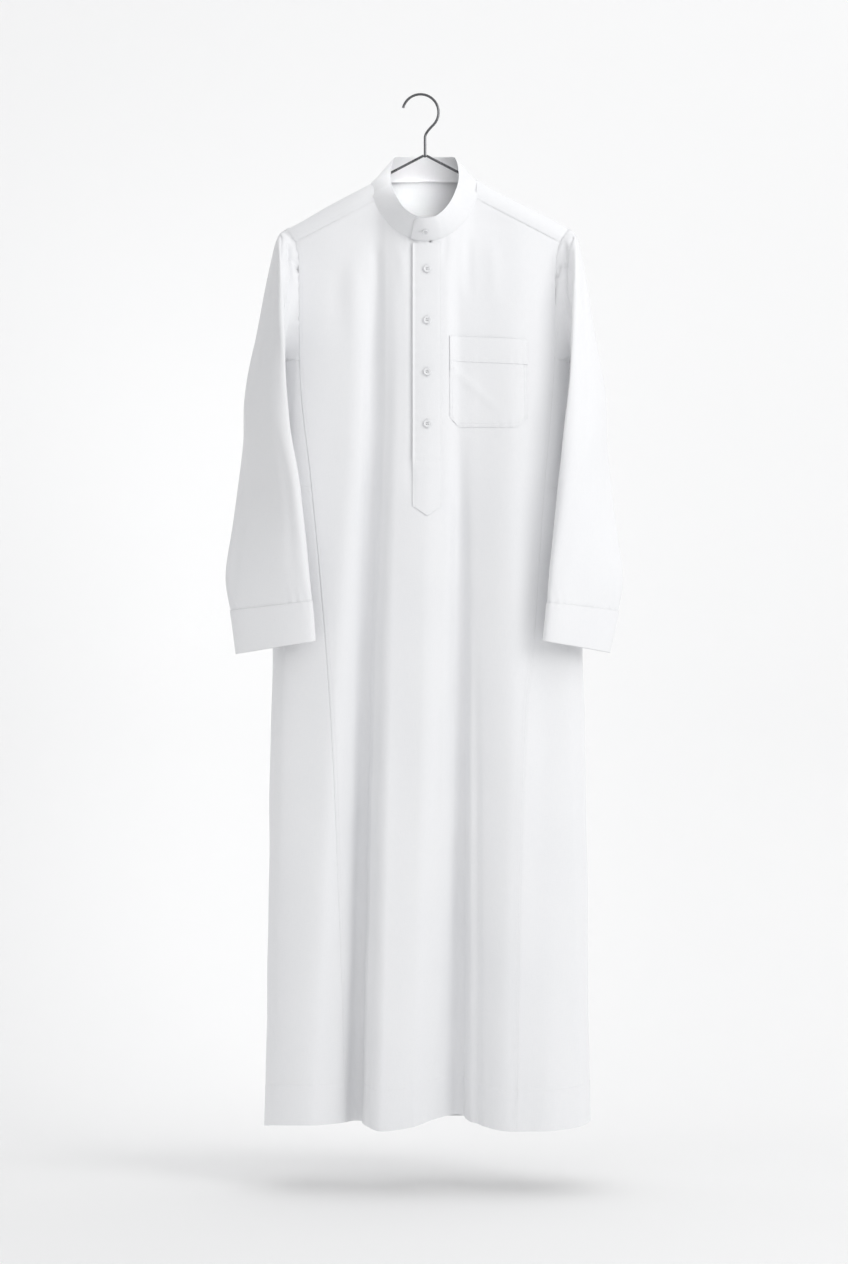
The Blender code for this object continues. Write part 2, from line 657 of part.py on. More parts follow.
def pocket_top(x):
    return POCKET_TOP_Z + POCKET_TILT * (x - POCKET_LEFT)


def make_pocket(material, parent):
    """Chest pocket with cut corners, and the deep band along its mouth."""
    across = np.linspace(POCKET_LEFT, POCKET_RIGHT, POCKET_COLUMNS)
    edge = np.minimum(across - POCKET_LEFT, POCKET_RIGHT - across)
    bottom = POCKET_BOTTOM_Z + np.clip(POCKET_CORNER - edge, 0, None)
    across[1] = POCKET_LEFT + POCKET_CORNER
    across[-2] = POCKET_RIGHT - POCKET_CORNER
    bottom[1] = POCKET_BOTTOM_Z
    bottom[-2] = POCKET_BOTTOM_Z
    start = pocket_top(across) - POCKET_BAND - SEAM_GAP
    outwards = CLOTH / 2 + LAYER_GAP + POCKET_WALL / 2
    shares = np.linspace(0, 1, POCKET_ROWS)
    grid = [on_front(across, start + (bottom - start) * v, outwards) for v in shares]
    sheet("pocket", np.array(grid), POCKET_WALL, material, parent)
    outwards = CLOTH / 2 + LAYER_GAP + POCKET_BAND_WALL / 2
    start = pocket_top(across)
    shares = np.linspace(0, 1, POCKET_BAND_ROWS)
    grid = [on_front(across, start - POCKET_BAND * v, outwards) for v in shares]
    sheet("pocket_band", np.array(grid), POCKET_BAND_WALL, material, parent)


def button_mesh(name):
    """Round shirt button: a turned profile with a soft rim and a shallow dish."""
    mesh = bpy.data.meshes.new(name)
    points = [(r * BUTTON_RADIUS, 0.0, h * BUTTON_HEIGHT) for r, h in BUTTON_PROFILE]
    mesh.from_pydata(points, [(i, i + 1) for i in range(len(points) - 1)], [])
    return mesh


def place_button(name, mesh, material, parent, seat, outwards):
    """A button turned about its own axis, standing on the point `seat`."""
    button = add_object(name, mesh, material, parent)
    button.location = seat
    button.rotation_mode = "QUATERNION"
    button.rotation_quaternion = outwards.to_track_quat("Z", "Y")
    turn = button.modifiers.new("turned", "SCREW")
    turn.steps = BUTTON_STEPS
    turn.render_steps = BUTTON_STEPS
    turn.use_merge_vertices = True
    turn.merge_threshold = 0.00001
    turn.use_normal_calculate = True


def collar_button_seat():
    """Seat on the outer end of the collar's lap, and the way out from it."""
    low, high = (row for row in collar_grid(COLLAR_STEPS, COLLAR_ROWS)[1:3])
    over = np.linspace(LAP_UNDER, LAP_OVER, COLLAR_STEPS) > math.pi / 2
    order = np.argsort(low[over, 0])
    x = low[over, 0][order]
    right = COLLAR_BUTTON_X + COLLAR_WALL

    def read(row, at):
        return Vector([np.interp(at, x, row[over][order][:, k]) for k in range(3)])

    below = read(low, COLLAR_BUTTON_X)
    up = read(high, COLLAR_BUTTON_X) - below
    outwards = (read(low, right) - below).cross(up).normalized()
    seat = below + up * COLLAR_BUTTON_RISE + outwards * (COLLAR_WALL / 2 + COLLAR_BUTTON_GAP)
    return seat, outwards


def make_buttons(material, parent):
    lift = CLOTH / 2 + LAYER_GAP + PLACKET_WALL + GAP
    for number in range(BUTTON_COUNT):
        z = BUTTON_FIRST_Z - number * BUTTON_PITCH
        seat = on_front(np.array(0.0), np.array(z), lift)
        above = on_front(np.array(0.0), np.array(z), lift + MM)
        mesh = button_mesh("button")
        place_button(f"button_{number + 1}", mesh, material, parent, Vector(seat),
                     Vector(above - seat))
    place_button("collar_button", button_mesh("button"), material, parent, *collar_button_seat())


# ---------------------------------------------------------------- sleeves
def yoke_edge(side, rows_front, rows_back):
    """The yoke's end: from the front seam over the shoulder to the back seam."""
    line = yoke_column(side * YOKE_TIP[0], side * SHOULDER_TIP[0], True, rows_front, rows_back)
    return np.array(line)


def armhole_loop(side, quarter):
    """The armhole's edge, from the shoulder down the front, under the arm and up the back.

    It has four quarters of the same number of points: to mid front, to the middle of the
    underarm, to mid back and to the shoulder again.
    """
    column = 1 if side < 0 else 2
    rows = SHOULDER_STEPS
    over = yoke_edge(side, rows, rows)
    z = np.linspace(YOKE_TIP[1], UNDERARM_Z, ARMHOLE_STEPS)
    front = body_ring(ring_place(table_value(FRONT_SEAMS, column, z), z), z)
    z = np.linspace(YOKE_BACK_Z, UNDERARM_Z, ARMHOLE_STEPS)
    back = body_ring(ring_place(table_value(BACK_SEAMS, column, z), z, back=True), z)
    under = side_grid(side, UNDERARM_Z, GUSSET_END_Z, UNDERARM_STEPS, 2, to_hem=False)[0]
    pieces = [over[rows::-1], front, under, back[::-1], over[:rows - 1:-1]]
    loop = np.concatenate(pieces)
    starts = np.cumsum([0] + [len(piece) for piece in pieces])
    marks = [0, starts[1] + len(front) // 2, starts[2] + len(under) // 2,
             starts[3] + len(back) // 2, len(loop) - 1]
    length = np.concatenate([[0], np.cumsum(np.linalg.norm(np.diff(loop, axis=0), axis=1))])
    at = [np.linspace(length[a], length[b], quarter, endpoint=False)
          for a, b in zip(marks[:-1], marks[1:])]
    at = np.concatenate(at)
    return np.stack([np.interp(at, length, loop[:, k]) for k in range(3)], -1)


def tube_ring(keys, quarter):
    """Closed ring through a sleeve's front fold, outer face, back fold and inner face."""
    front, outer, behind, inner = (np.array(key, float) * MM for key in keys)
    centre = (front + outer + behind + inner) / 4
    corners = (outer, front, inner, behind, outer)
    angle = np.linspace(0, math.pi / 2, quarter, endpoint=False)[:, None]
    near = np.cos(angle) ** RING_BOXINESS
    far = np.sin(angle) ** RING_BOXINESS
    parts = [centre + (a - centre) * near + (b - centre) * far
             for a, b in zip(corners[:-1], corners[1:])]
    return np.concatenate(parts)


def sleeve_surface(side, places, quarter):
    """Rings of a sleeve at station places: 0 is the armhole and CUFF_END the cuff's edge."""
    table = SLEEVE_LEFT if side < 0 else SLEEVE_RIGHT
    rings = [armhole_loop(side, quarter)]
    rings.extend(tube_ring(row[1:], quarter) for row in table)
    step = rings[1] - rings[0]
    rings[0] = rings[0] + step / np.linalg.norm(step, axis=-1, keepdims=True) * ARMHOLE_GAP
    stations = np.moveaxis(np.array(rings), 0, -1)
    places = np.asarray(places, float)
    return np.array([smooth(np.arange(len(rings)), stations, np.full(stations.shape[:-1], place))
                     for place in places])


def outward_faces(side, grid):
    """The rings with their points ordered so that the cloth's faces point outwards."""
    return grid if side < 0 else grid[:, ::-1]


def make_sleeves(material, parent):
    """A tapering sleeve each side and the deep straight cuff sewn to it."""
    above = np.linspace(0, CLOSE_STATIONS, CLOSE_RINGS)
    below = np.linspace(CLOSE_STATIONS, WRIST - WRIST_PART, OPEN_RINGS)
    places = np.concatenate([above, below[1:]])
    cuff_places = np.linspace(WRIST + WRIST_PART, CUFF_END, CUFF_RINGS)
    for side, word in ((-1, "left"), (1, "right")):
        sleeve = outward_faces(side, sleeve_surface(side, places, RING_QUARTER))
        sheet("sleeve_" + word, sleeve, CLOTH, material, parent, closed=True)
        cuff = outward_faces(side, sleeve_surface(side, cuff_places, RING_QUARTER))
        sheet("cuff_" + word, cuff, CUFF_WALL, material, parent, closed=True)


# ---------------------------------------------------------------- hanger
def hook_path():
    """The hook's wire: open end, round crown, bend back to the middle, straight neck."""
    centre_z = WIRE_RADIUS - HOOK_RADIUS
    path = [(HOOK_RADIUS * math.cos(a), 0.0, centre_z + HOOK_RADIUS * math.sin(a))
            for a in np.linspace(HOOK_START, HOOK_END, HOOK_STEPS)]
    start = np.array(path[-1])
    leave = np.array([math.sin(HOOK_END), 0.0, -math.cos(HOOK_END)]) * HOOK_LEAVE
    end = np.array([NECK_X, 0.0, NECK_TOP_Z])
    arrive = np.array([0.0, 0.0, -HOOK_ARRIVE])
    for t in np.linspace(0, 1, BEND_STEPS)[1:]:
        point = (start * (1 + 2 * t) * (1 - t) ** 2 + leave * t * (1 - t) ** 2
                 + end * t * t * (3 - 2 * t) - arrive * t * t * (1 - t))
        path.append(tuple(point))
    path.append((NECK_X, 0.0, APEX_Z - WIRE_RADIUS / 2))
    return path


def arm_points(side):
    """Points of one hanger arm: apex, dip under the collar's foot, shoulder and tip."""
    apex = (NECK_X + side * (WIRE_RADIUS + ARM_GAP), 0.0, APEX_Z - WIRE_RADIUS / 2)
    run = ARM_BEND_X - WIRE_RADIUS
    bend = (NECK_X + side * ARM_BEND_X, 0.0, apex[2] - run * ARM_SLOPE)
    dip = (NECK_X + side * ARM_DIP[0], 0.0, ARM_DIP[1])
    tip_x = side * (SHOULDER_TIP[0] - BAR_CORNER)
    tip = (GARMENT_X + tip_x, 0.0, float(shoulder_z(tip_x)) - WIRE_BELOW_CLOTH)
    return apex, bend, dip, tip


def make_hanger(material):
    """Hook, two arms and the bar that turns up to meet them: steel wire, butt welded."""
    wire("hanger_hook", hook_path(), material)
    ends = {}
    for side, word in ((-1, "left"), (1, "right")):
        points = arm_points(side)
        wire("hanger_arm_" + word, points, material)
        ends[side] = points[-1]
    lean = math.atan2(SHOULDER_NECK[1] - SHOULDER_TIP[1], SHOULDER_TIP[0] - SHOULDER_NECK[0])
    bar = []
    for side in (-1, 1):
        x = ends[side][0] + side * math.cos(lean) * 2 * GAP
        z = ends[side][2] - math.sin(lean) * 2 * GAP
        radius = (z - BAR_Z) / (1 + math.cos(lean))
        centre = x - side * radius * math.sin(lean)
        bar.append([(centre + side * radius * math.sin(a), 0.0, BAR_Z + radius * (1 + math.cos(a)))
                    for a in np.linspace(lean, math.pi, BEND_STEPS)])
    wire("hanger_bar", bar[0] + bar[1][::-1], material)


# ---------------------------------------------------------------- assembly
def main():
    clear_scene()
    collection = bpy.data.collections.new("thobe_robe")
    bpy.context.scene.collection.children.link(collection)
    shirting = new_material("white_shirting", (0.84, 0.845, 0.86), 0.85)
    button = new_material("white_button", (0.86, 0.86, 0.87), 0.35)
    steel = new_material("steel_wire", (0.45, 0.45, 0.46), 0.30, 1.0)
    garment = bpy.data.objects.new("garment_hang", None)
    garment.location = (GARMENT_X, 0.0, 0.0)
    collection.objects.link(garment)

    make_front(shirting, garment)
    make_back(shirting, garment)
    make_sides(shirting, garment)
    make_yoke(shirting, garment)
    make_collar(shirting, garment)
    make_placket(shirting, garment)
    make_pocket(shirting, garment)
    make_sleeves(shirting, garment)
    make_buttons(button, garment)
    make_hanger(steel)
    bpy.context.view_layer.update()


main()
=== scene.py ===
"""Looks of the white thobe robe on its wire hanger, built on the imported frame.

Metres, +Z up, the front faces -Y. Every cloth surface repeats the form that its solid has:
fold lines down a ring round the body, rings down each sleeve, and two rings for the collar.
Small creases, seam bands, puckers and stitching are added to that form here.
"""
import math

import bmesh
import bpy
import numpy as np
from mathutils import Matrix, Vector


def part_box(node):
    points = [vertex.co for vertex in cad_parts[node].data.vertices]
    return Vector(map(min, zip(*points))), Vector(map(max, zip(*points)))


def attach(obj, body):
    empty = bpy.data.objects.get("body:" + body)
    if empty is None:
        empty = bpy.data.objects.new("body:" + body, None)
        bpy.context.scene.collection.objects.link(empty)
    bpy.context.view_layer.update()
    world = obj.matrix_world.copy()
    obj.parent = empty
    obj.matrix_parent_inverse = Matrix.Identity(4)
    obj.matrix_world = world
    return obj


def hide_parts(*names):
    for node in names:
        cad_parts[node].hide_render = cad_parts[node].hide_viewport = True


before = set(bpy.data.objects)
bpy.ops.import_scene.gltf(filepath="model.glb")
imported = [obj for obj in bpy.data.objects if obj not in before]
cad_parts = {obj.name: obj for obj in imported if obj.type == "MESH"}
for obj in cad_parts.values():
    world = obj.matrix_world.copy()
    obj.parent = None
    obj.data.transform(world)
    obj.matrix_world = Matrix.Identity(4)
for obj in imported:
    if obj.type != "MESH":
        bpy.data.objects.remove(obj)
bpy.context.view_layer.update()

MM = 0.001
PLACKET_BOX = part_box("placket")
GARMENT_X = (PLACKET_BOX[0].x + PLACKET_BOX[1].x) / 2      # the garment's own centre line

# Walls and clearances, metres.
CLOTH = 0.0004                # one layer of shirting
DOUBLE = 0.0009               # two layers sewn together: collar, cuffs, placket
GAP = 0.0003
LAYER_GAP = 0.0004
UNDERLAY = 0.0050             # how far a seam's lower edge runs on under the upper one
NECK_UNDERLAY = 0.0030        # the body's neckline runs on behind the collar

UNDERARM_Z = -0.414
GUSSET_END_Z = -0.6115
YOKE_BACK_Z = -0.262
NECK_CENTRE = -0.0030              # the collar sits this far off the centre line
YOKE_NECK = (0.0830, -0.1665)      # inner end of the front yoke seam, from the collar's middle
YOKE_TIP = (0.2050, -0.2300)       # outer end of the front yoke seam, |x| and z
SHOULDER_NECK = (0.0875, -0.1375)  # where the shoulder line leaves the collar, likewise
SHOULDER_TIP = (0.2190, -0.2075)   # where the shoulder line meets the armhole
YOKE_ROUND = 0.036                 # depth over which the back yoke rounds off the shoulder

COLLAR_BASE_REACH = 0.0840
COLLAR_BASE_Z = -0.1315       # foot of the collar at the middle of the back
COLLAR_BASE_Y = -0.0070       # middle of the foot's ring, front to back
COLLAR_BASE_DEPTH = 0.0350    # and half its depth
COLLAR_SIDE_DROP = 0.0055     # fall of the foot from the back to the sides
COLLAR_FRONT_DROP = 0.0930    # and from the sides to the front
COLLAR_DROP_CURVE = 1.12
COLLAR_ON_FRONT = 0.25        # share of the way forward where the foot meets the front's cloth
COLLAR_TOP_X = -0.0040        # middle of the top's ring
COLLAR_TOP_Y = -0.0190
COLLAR_TOP_REACH = 0.0525     # half its width
COLLAR_TOP_DEPTH = 0.0560     # half its depth
COLLAR_TOP = (
    # share of the way to the front, height
    (0.00, -0.0905),
    (0.25, -0.0945),
    (0.50, -0.1270),
    (0.75, -0.1600),
    (1.00, -0.1990),
)
LAP_UNDER = math.radians(-194)     # the collar's ends, from the middle of the back
LAP_OVER = math.radians(196)
LAP_START = math.radians(140)      # where the ends part to lap
LAP_EASE = math.radians(24)
NECK_REACH = 0.0765           # half the width of the back neckline's flat run
PLACKET_WIDTH = 0.0450
PLACKET_TOP_Z = -0.2335
PLACKET_SHOULDER_Z = -0.6400
PLACKET_POINT_Z = -0.6560
SLIT_END_Z = -0.6000
BUTTON_RADIUS = 0.0062
BUTTON_HEIGHT = 0.0024
BUTTON_FIRST_Z = -0.2744
BUTTON_PITCH = 0.0798
BUTTON_COUNT = 4

POCKET_LEFT = 0.0340
POCKET_RIGHT = 0.1545
POCKET_TOP_Z = -0.3780
POCKET_TILT = -0.050          # fall of the pocket's mouth per metre across
POCKET_BAND = 0.0385
POCKET_BOTTOM_Z = -0.5190
POCKET_CORNER = 0.0150

HEM_TURN_UP = 0.0620          # from the hem's edge to its row of stitches

# Fold lines all round the body, from the left side across the front, round the right side
# and back. Each row: name, then (x, y) in millimetres at the four levels below it, then how
# far the hem rises above its lowest line there.
LEVEL_Z = np.array([-0.200, UNDERARM_Z, -0.865, -1.600])
HEM_Z = -1.5990
FOLDS = (
    #  name                  shoulder      chest         hip           hem       rise
    ("side_left",          (-214,   0), (-223,   0), (-239,  -3), (-252,  -8),  0),
    ("corner_left",        (-203, -15), (-205, -29), (-222, -32), (-237, -44),  5),
    ("ridge_left",         (-113, -22), (-116, -49), (-141, -55), (-182, -66),  8),
    ("trough_left",        (-80,  -19), (-79,  -37), (-96,  -30), (-108, -16),  7),
    ("roll_edge_left",     (-62,  -25), (-62,  -46), (-76,  -48), (-94,  -52),  6),
    ("roll_left",          (-44,  -31), (-44,  -54), (-53,  -62), (-70,  -80),  1),
    ("centre",             (-4,   -37), (-4,   -58), (-10,  -64), (-24,  -71),  6),
    ("roll_right",         (28,   -33), (28,   -55), (24,   -53), (8,    -46), 14),
    ("trough_right",       (52,   -26), (51,   -46), (51,   -34), (42,   -16), 17),
    ("wall_right",         (77,   -20), (78,   -49), (77,   -47), (73,   -52),  9),
    ("ridge_right",        (124,  -22), (128,  -55), (129,  -60), (127,  -81),  1),
    ("flat_right",         (165,  -19), (165,  -49), (178,  -42), (177,  -79),  1),
    ("corner_right",       (203,  -15), (205,  -29), (222,  -25), (237,  -50),  5),
    ("side_right",         (214,    0), (223,    0), (242,   -2), (253,  -14),  8),
    ("back_corner_right",  (203,   15), (205,   29), (221,   32), (233,   46),  7),
    ("back_ridge_side",    (150,   22), (150,   43), (153,   55), (162,   69),  3),
    ("back_trough_right",  (95,    26), (95,    40), (98,    34), (100,   25), 10),
    ("back_ridge_right",   (47,    31), (47,    49), (44,    61), (40,    74),  2),
    ("back_trough_centre", (-8,    32), (-8,    46), (-11,   37), (-14,   26), 11),
    ("back_ridge_left",    (-66,   29), (-66,   49), (-68,   60), (-71,   71),  4),
    ("back_trough_left",   (-118,  24), (-118,  39), (-122,  36), (-127,  31),  9),
    ("back_ridge_end",     (-165,  20), (-165,  42), (-171,  52), (-182,  63),  3),
    ("back_corner_left",   (-203,  15), (-205,  29), (-222,  32), (-236,  42),  6),
)
FOLD_NAMES = [row[0] for row in FOLDS]
SIDE_RIGHT = FOLD_NAMES.index("side_right")
RING = len(FOLDS)

# Side seams of the front and back panels: height, then x on the left and on the right.
FRONT_SEAMS = (
    #  z        left     right, millimetres
    (-0.230,   -205.0,   205.0),
    (-0.258,   -199.0,   199.5),
    (-0.414,   -197.5,   196.5),
    (-0.612,   -178.0,   181.0),
    (-0.865,   -155.5,   163.0),
    (-0.957,   -149.0,   153.0),
    (-1.232,   -137.0,   142.5),
    (-1.600,   -126.0,   136.0),
)
BACK_SEAMS = (
    #  z        left     right, millimetres
    (-0.262,   -199.0,   199.0),
    (-0.414,   -197.5,   197.5),
    (-0.612,   -182.0,   182.0),
    (-0.865,   -163.0,   163.0),
    (-1.232,   -146.0,   146.0),
    (-1.600,   -136.0,   136.0),
)

# Rings of the sleeves below the armhole, millimetres from the garment's centre line. Each
# row: name, then the front fold, the outer face, the back fold and the inner face.
SLEEVE_LEFT = (
    ("valley",  (-206, -32, -312), (-229,   0, -214), (-208, 34, -312), (-235,  0, -411)),
    ("ridge",   (-221, -63, -330), (-236,   0, -228), (-226, 62, -330), (-245,  0, -424)),
    ("upper",   (-219, -75, -395), (-258,  -4, -335), (-238, 76, -390), (-248,  2, -458)),
    ("bicep",   (-213, -77, -500), (-281,  -8, -490), (-268, 74, -500), (-249,  6, -520)),
    ("forearm", (-197, -77, -618), (-261, -28, -622), (-294, 42, -626), (-236, -6, -622)),
    ("elbow",   (-184, -77, -732), (-256, -53, -739), (-310,  0, -745), (-240, -28, -738)),
    ("wrist",   (-177, -76, -786), (-246, -59, -794), (-303, -17, -800), (-235, -36, -792)),
    ("cuff",    (-172, -75, -848), (-239, -61, -859), (-295, -23, -868), (-228, -39, -857)),
)
SLEEVE_RIGHT = (
    ("valley",  (206, -32, -312), (229,   0, -214), (208, 34, -312), (235,   0, -411)),
    ("ridge",   (224, -63, -330), (236,   0, -228), (226, 62, -330), (245,   0, -424)),
    ("upper",   (221, -75, -395), (255,  -4, -335), (238, 76, -390), (248,   2, -458)),
    ("bicep",   (212, -79, -505), (275,  -8, -490), (264, 76, -500), (248,   6, -520)),
    ("forearm", (201, -82, -629), (260, -36, -628), (288, 44, -632), (237, -10, -630)),
    ("elbow",   (189, -84, -732), (256, -51, -739), (302,  8, -747), (238, -29, -738)),
    ("wrist",   (185, -86, -789), (248, -56, -795), (294, -2, -801), (233, -37, -793)),
    ("cuff",    (178, -86, -848), (238, -60, -858), (281, -10, -866), (225, -41, -856)),
)
RING_QUARTER = 26             # points in a quarter of a ring
RING_BOXINESS = 0.78          # below 1 the faces of a flattened tube lie flatter
WRIST = 7                     # station where the cuff is sewn on
CUFF_END = 8                  # station of the cuff's edge


# ---------------------------------------------------------------- curves and surfaces
def smooth(stations, values, at):
    """The smooth curve without overshoot through (stations, values), read at each `at`.

    The last axis of values runs along the stations; each point has its own values.
    """
    stations = np.asarray(stations, float)
    step = np.diff(stations)
    rate = np.diff(values, axis=-1) / step
    before = rate[..., :-1]
    after = rate[..., 1:]
    near = 2 * step[1:] + step[:-1]
    far = step[1:] + 2 * step[:-1]
    agree = before * after > 0
    first = np.where(agree, before, 1.0)
    second = np.where(agree, after, 1.0)
    inner = np.where(agree, (near + far) / (near / first + far / second), 0.0)
    slope = np.concatenate([rate[..., :1], inner, rate[..., -1:]], axis=-1)
    at = np.clip(at, stations[0], stations[-1])
    i = np.clip(np.searchsorted(stations, at, side="right") - 1, 0, len(step) - 1)
    t = (at - stations[i]) / step[i]

    def pick(table, index):
        return np.take_along_axis(table, index[..., None], axis=-1)[..., 0]

    a = pick(values, i)
    b = pick(values, i + 1)
    rise_a = pick(slope, i) * step[i]
    rise_b = pick(slope, i + 1) * step[i]
    return (a * (1 + 2 * t) * (1 - t) ** 2 + rise_a * t * (1 - t) ** 2
            + b * t * t * (3 - 2 * t) - rise_b * t * t * (1 - t))


def table_value(table, column, at):
    """One column of a seam table, in metres, read at heights `at`."""
    rows = sorted(table)
    at = np.asarray(at, float)
    values = np.array([row[column] * MM for row in rows])
    values = np.broadcast_to(values, at.shape + values.shape)
    return smooth([row[0] for row in rows], values, at)


def fold_positions(z, axis):
    """Where every fold line is at heights z, along x (axis 0) or y (axis 1)."""
    levels = LEVEL_Z[::-1]
    lines = np.array([[row[1 + k][axis] * MM for k in range(len(levels))][::-1] for row in FOLDS])
    lines = np.broadcast_to(lines, z.shape + lines.shape)
    return smooth(levels, lines, np.broadcast_to(z[..., None], z.shape + (RING,)))


def body_ring(p, z):
    """Points of the body at ring places p (0 to RING, one unit a fold line) and heights z."""
    p, z = np.broadcast_arrays(np.asarray(p, float), np.asarray(z, float))
    places = np.arange(-2, RING + 3)
    xy = []
    for axis in (0, 1):
        knots = fold_positions(z, axis)
        wrapped = np.concatenate([knots[..., -2:], knots, knots[..., :3]], axis=-1)
        xy.append(smooth(places, wrapped, p))
    return np.stack([xy[0], xy[1], z], axis=-1)


def hem_height(p):
    """Height of the hem's edge at ring places p."""
    rise = np.array([row[5] * MM for row in FOLDS])
    wrapped = np.concatenate([rise[-2:], rise, rise[:3]])
    p = np.asarray(p, float)
    knots = np.broadcast_to(wrapped, p.shape + wrapped.shape)
    return HEM_Z + smooth(np.arange(-2, RING + 3), knots, p)


SCAN = 240
SCAN_HEIGHTS = np.linspace(-1.62, -0.12, 301)
SCANNED = {}


def scanned_lines(back):
    """Ring places and their x at many heights, worked out once for the front or the back."""
    if back not in SCANNED:
        low, high = (SIDE_RIGHT, RING) if back else (0, SIDE_RIGHT)
        scan = np.linspace(low, high, SCAN)
        x = body_ring(scan[None, :], SCAN_HEIGHTS[:, None])[..., 0]
        if back:
            x = -x
        SCANNED[back] = (scan, np.maximum.accumulate(x, axis=-1))
    return SCANNED[back]


def ring_place(x, z, back=False):
    """Ring place where the front or the back of the body has the given x at heights z."""
    x, z = np.broadcast_arrays(np.asarray(x, float), np.asarray(z, float))
    scan, lines = scanned_lines(back)
    step = SCAN_HEIGHTS[1] - SCAN_HEIGHTS[0]
    row = np.clip((z.ravel() - SCAN_HEIGHTS[0]) / step, 0, len(SCAN_HEIGHTS) - 1.001)
    low = row.astype(int)
    share = (row - low)[:, None]
    line = lines[low] * (1 - share) + lines[low + 1] * share
    goal = -x.ravel() if back else x.ravel()
    found = [np.interp(g, values, scan) for g, values in zip(goal, line)]
    return np.array(found).reshape(x.shape)


def shoulder_z(x):
    """Height of the shoulder line at |x|."""
    slope = (SHOULDER_TIP[1] - SHOULDER_NECK[1]) / (SHOULDER_TIP[0] - SHOULDER_NECK[0])
    return SHOULDER_NECK[1] + (np.abs(x) - SHOULDER_NECK[0]) * slope


def yoke_seam_z(x):
    """Height of the front yoke seam at |x|."""
    slope = (YOKE_TIP[1] - YOKE_NECK[1]) / (YOKE_TIP[0] - YOKE_NECK[0])
    return YOKE_NECK[1] + (np.abs(x) - YOKE_NECK[0]) * slope


def collar_rings(angle):
    """Base and top of the collar at angles from the middle of the back, +90 degrees right."""
    turn = (1 - np.cos(angle)) / 2
    ahead = np.clip(-np.cos(angle), 0, 1)
    base_x = NECK_CENTRE + COLLAR_BASE_REACH * np.sin(angle)
    base_z = (COLLAR_BASE_Z - COLLAR_SIDE_DROP * np.clip(2 * turn, 0, 1)
              - COLLAR_FRONT_DROP * ahead ** COLLAR_DROP_CURVE)
    base_y = COLLAR_BASE_Y + COLLAR_BASE_DEPTH * np.cos(angle)
    top_x = COLLAR_TOP_X + COLLAR_TOP_REACH * np.sin(angle)
    top_y = COLLAR_TOP_Y + COLLAR_TOP_DEPTH * np.cos(angle)
    share, height = zip(*COLLAR_TOP)
    top_z = smooth(share, np.broadcast_to(height, turn.shape + (len(height),)), turn)
    front = ahead > COLLAR_ON_FRONT
    base_y = np.where(front, on_front(base_x, base_z)[..., 1], base_y)
    return np.stack([base_x, base_y, base_z], -1), np.stack([top_x, top_y, top_z], -1)


def neckline_z(x):
    """Height of the front neckline, which runs on behind the collar's base, at x."""
    angle = np.linspace(math.radians(75), math.radians(285), 181)
    base = collar_rings(angle)[0][:, [0, 2]]
    along = np.gradient(base, axis=0)
    away = np.stack([-along[:, 1], along[:, 0]], -1)
    away /= np.linalg.norm(away, axis=-1, keepdims=True)
    away *= -np.sign(away[len(away) // 2, 1])
    edge = base - away * NECK_UNDERLAY
    order = np.argsort(edge[:, 0])
    return np.interp(x, edge[order, 0], edge[order, 1])


# ---------------------------------------------------------------- creases on the cloth
# Small creases of the body. Each row: name, the face it lies on, then x and z in millimetres
# where it starts and where it ends, how far it bows to the right on the way, its half width at
# the start and at the end, how far it stands out (or in, below zero), how much one flank is
# steeper, and the shares of its length over which it rises and dies away.
BODY_CREASES = (
    # name, face, from, to, bow, w0, w1, height, lean, in, out
    ("chest_left_dip",     "front", (-138, -255), (-128, -420),  -4,  9, 16, -2.2,  0.0, 0.25,   0.7),
    ("chest_left_ridge",   "front", (-112, -250), (-118, -430),   3, 12, 16,  2.0,  0.3, 0.25,   0.7),
    ("chest_left_neck",    "front", (-84, -225),  (-84, -380),    5,  7, 12, -2.0, -0.4,  0.2,   0.8),
    ("placket_ridge",      "front", (-42, -240),  (-38, -330),    2,  6,  9,  1.4,  0.0,  0.2,   0.7),
    ("placket_right_top",  "front", (30, -214),   (25, -275),     1,  4,  5, -1.3,  0.6,  0.2,   0.5),
    ("chest_right_neck",   "front", (66, -215),   (74, -360),    -4,  7, 12, -2.2,  0.5,  0.2,   0.7),
    ("chest_right_ridge",  "front", (100, -215),  (112, -372),   -3, 10, 14,  1.6,  0.0, 0.25,   0.6),
    ("placket_foot_left",  "front", (-30, -556),  (-24, -640),    2,  5,  7, -1.2,  0.5,  0.3,   0.6),
    ("trough_left_depth",  "front", (-83, -262),  (-111, -1602),  3, 10, 13, -7.5,  0.3, 0.14,  0.01),
    ("trough_left_roll",   "front", (-58, -420),  (-84, -1602),   2, 14, 16,  2.5,  0.0,  0.4,  0.01),
    ("trough_right_depth", "front", (48, -500),   (48, -1602),    1, 10, 12, -7.5, -0.3, 0.18,  0.01),
    ("trough_right_next",  "front", (76, -760),   (77, -1602),    1,  6,  8, -2.6,  0.3, 0.45,  0.01),
    ("trough_right_line",  "front", (66, -700),   (66, -1602),    1,  4,  5,  1.4,  0.0, 0.45,  0.01),
    ("back_depth_right",   "back",  (97, -420),   (99, -1602),    3, 12, 14, -5.0,  0.2,  0.4,  0.01),
    ("back_depth_centre",  "back",  (-9, -380),   (-13, -1602),  -4, 11, 15, -6.0, -0.3, 0.35,  0.01),
    ("back_depth_left",    "back",  (-120, -470), (-126, -1602),  2, 12, 13, -4.5,  0.0, 0.45,  0.01),
)


def body_ring_normal(p, z):
    """Outward direction of the body at ring places p and heights z."""
    along = body_ring(p + PLACE_REACH, z) - body_ring(p - PLACE_REACH, z)
    down = body_ring(p, z - NORMAL_REACH) - body_ring(p, z + NORMAL_REACH)
    return unit(np.cross(down, along))


PLACE_REACH = 0.12            # of a fold line's spacing, to either side
NORMAL_REACH = 0.010


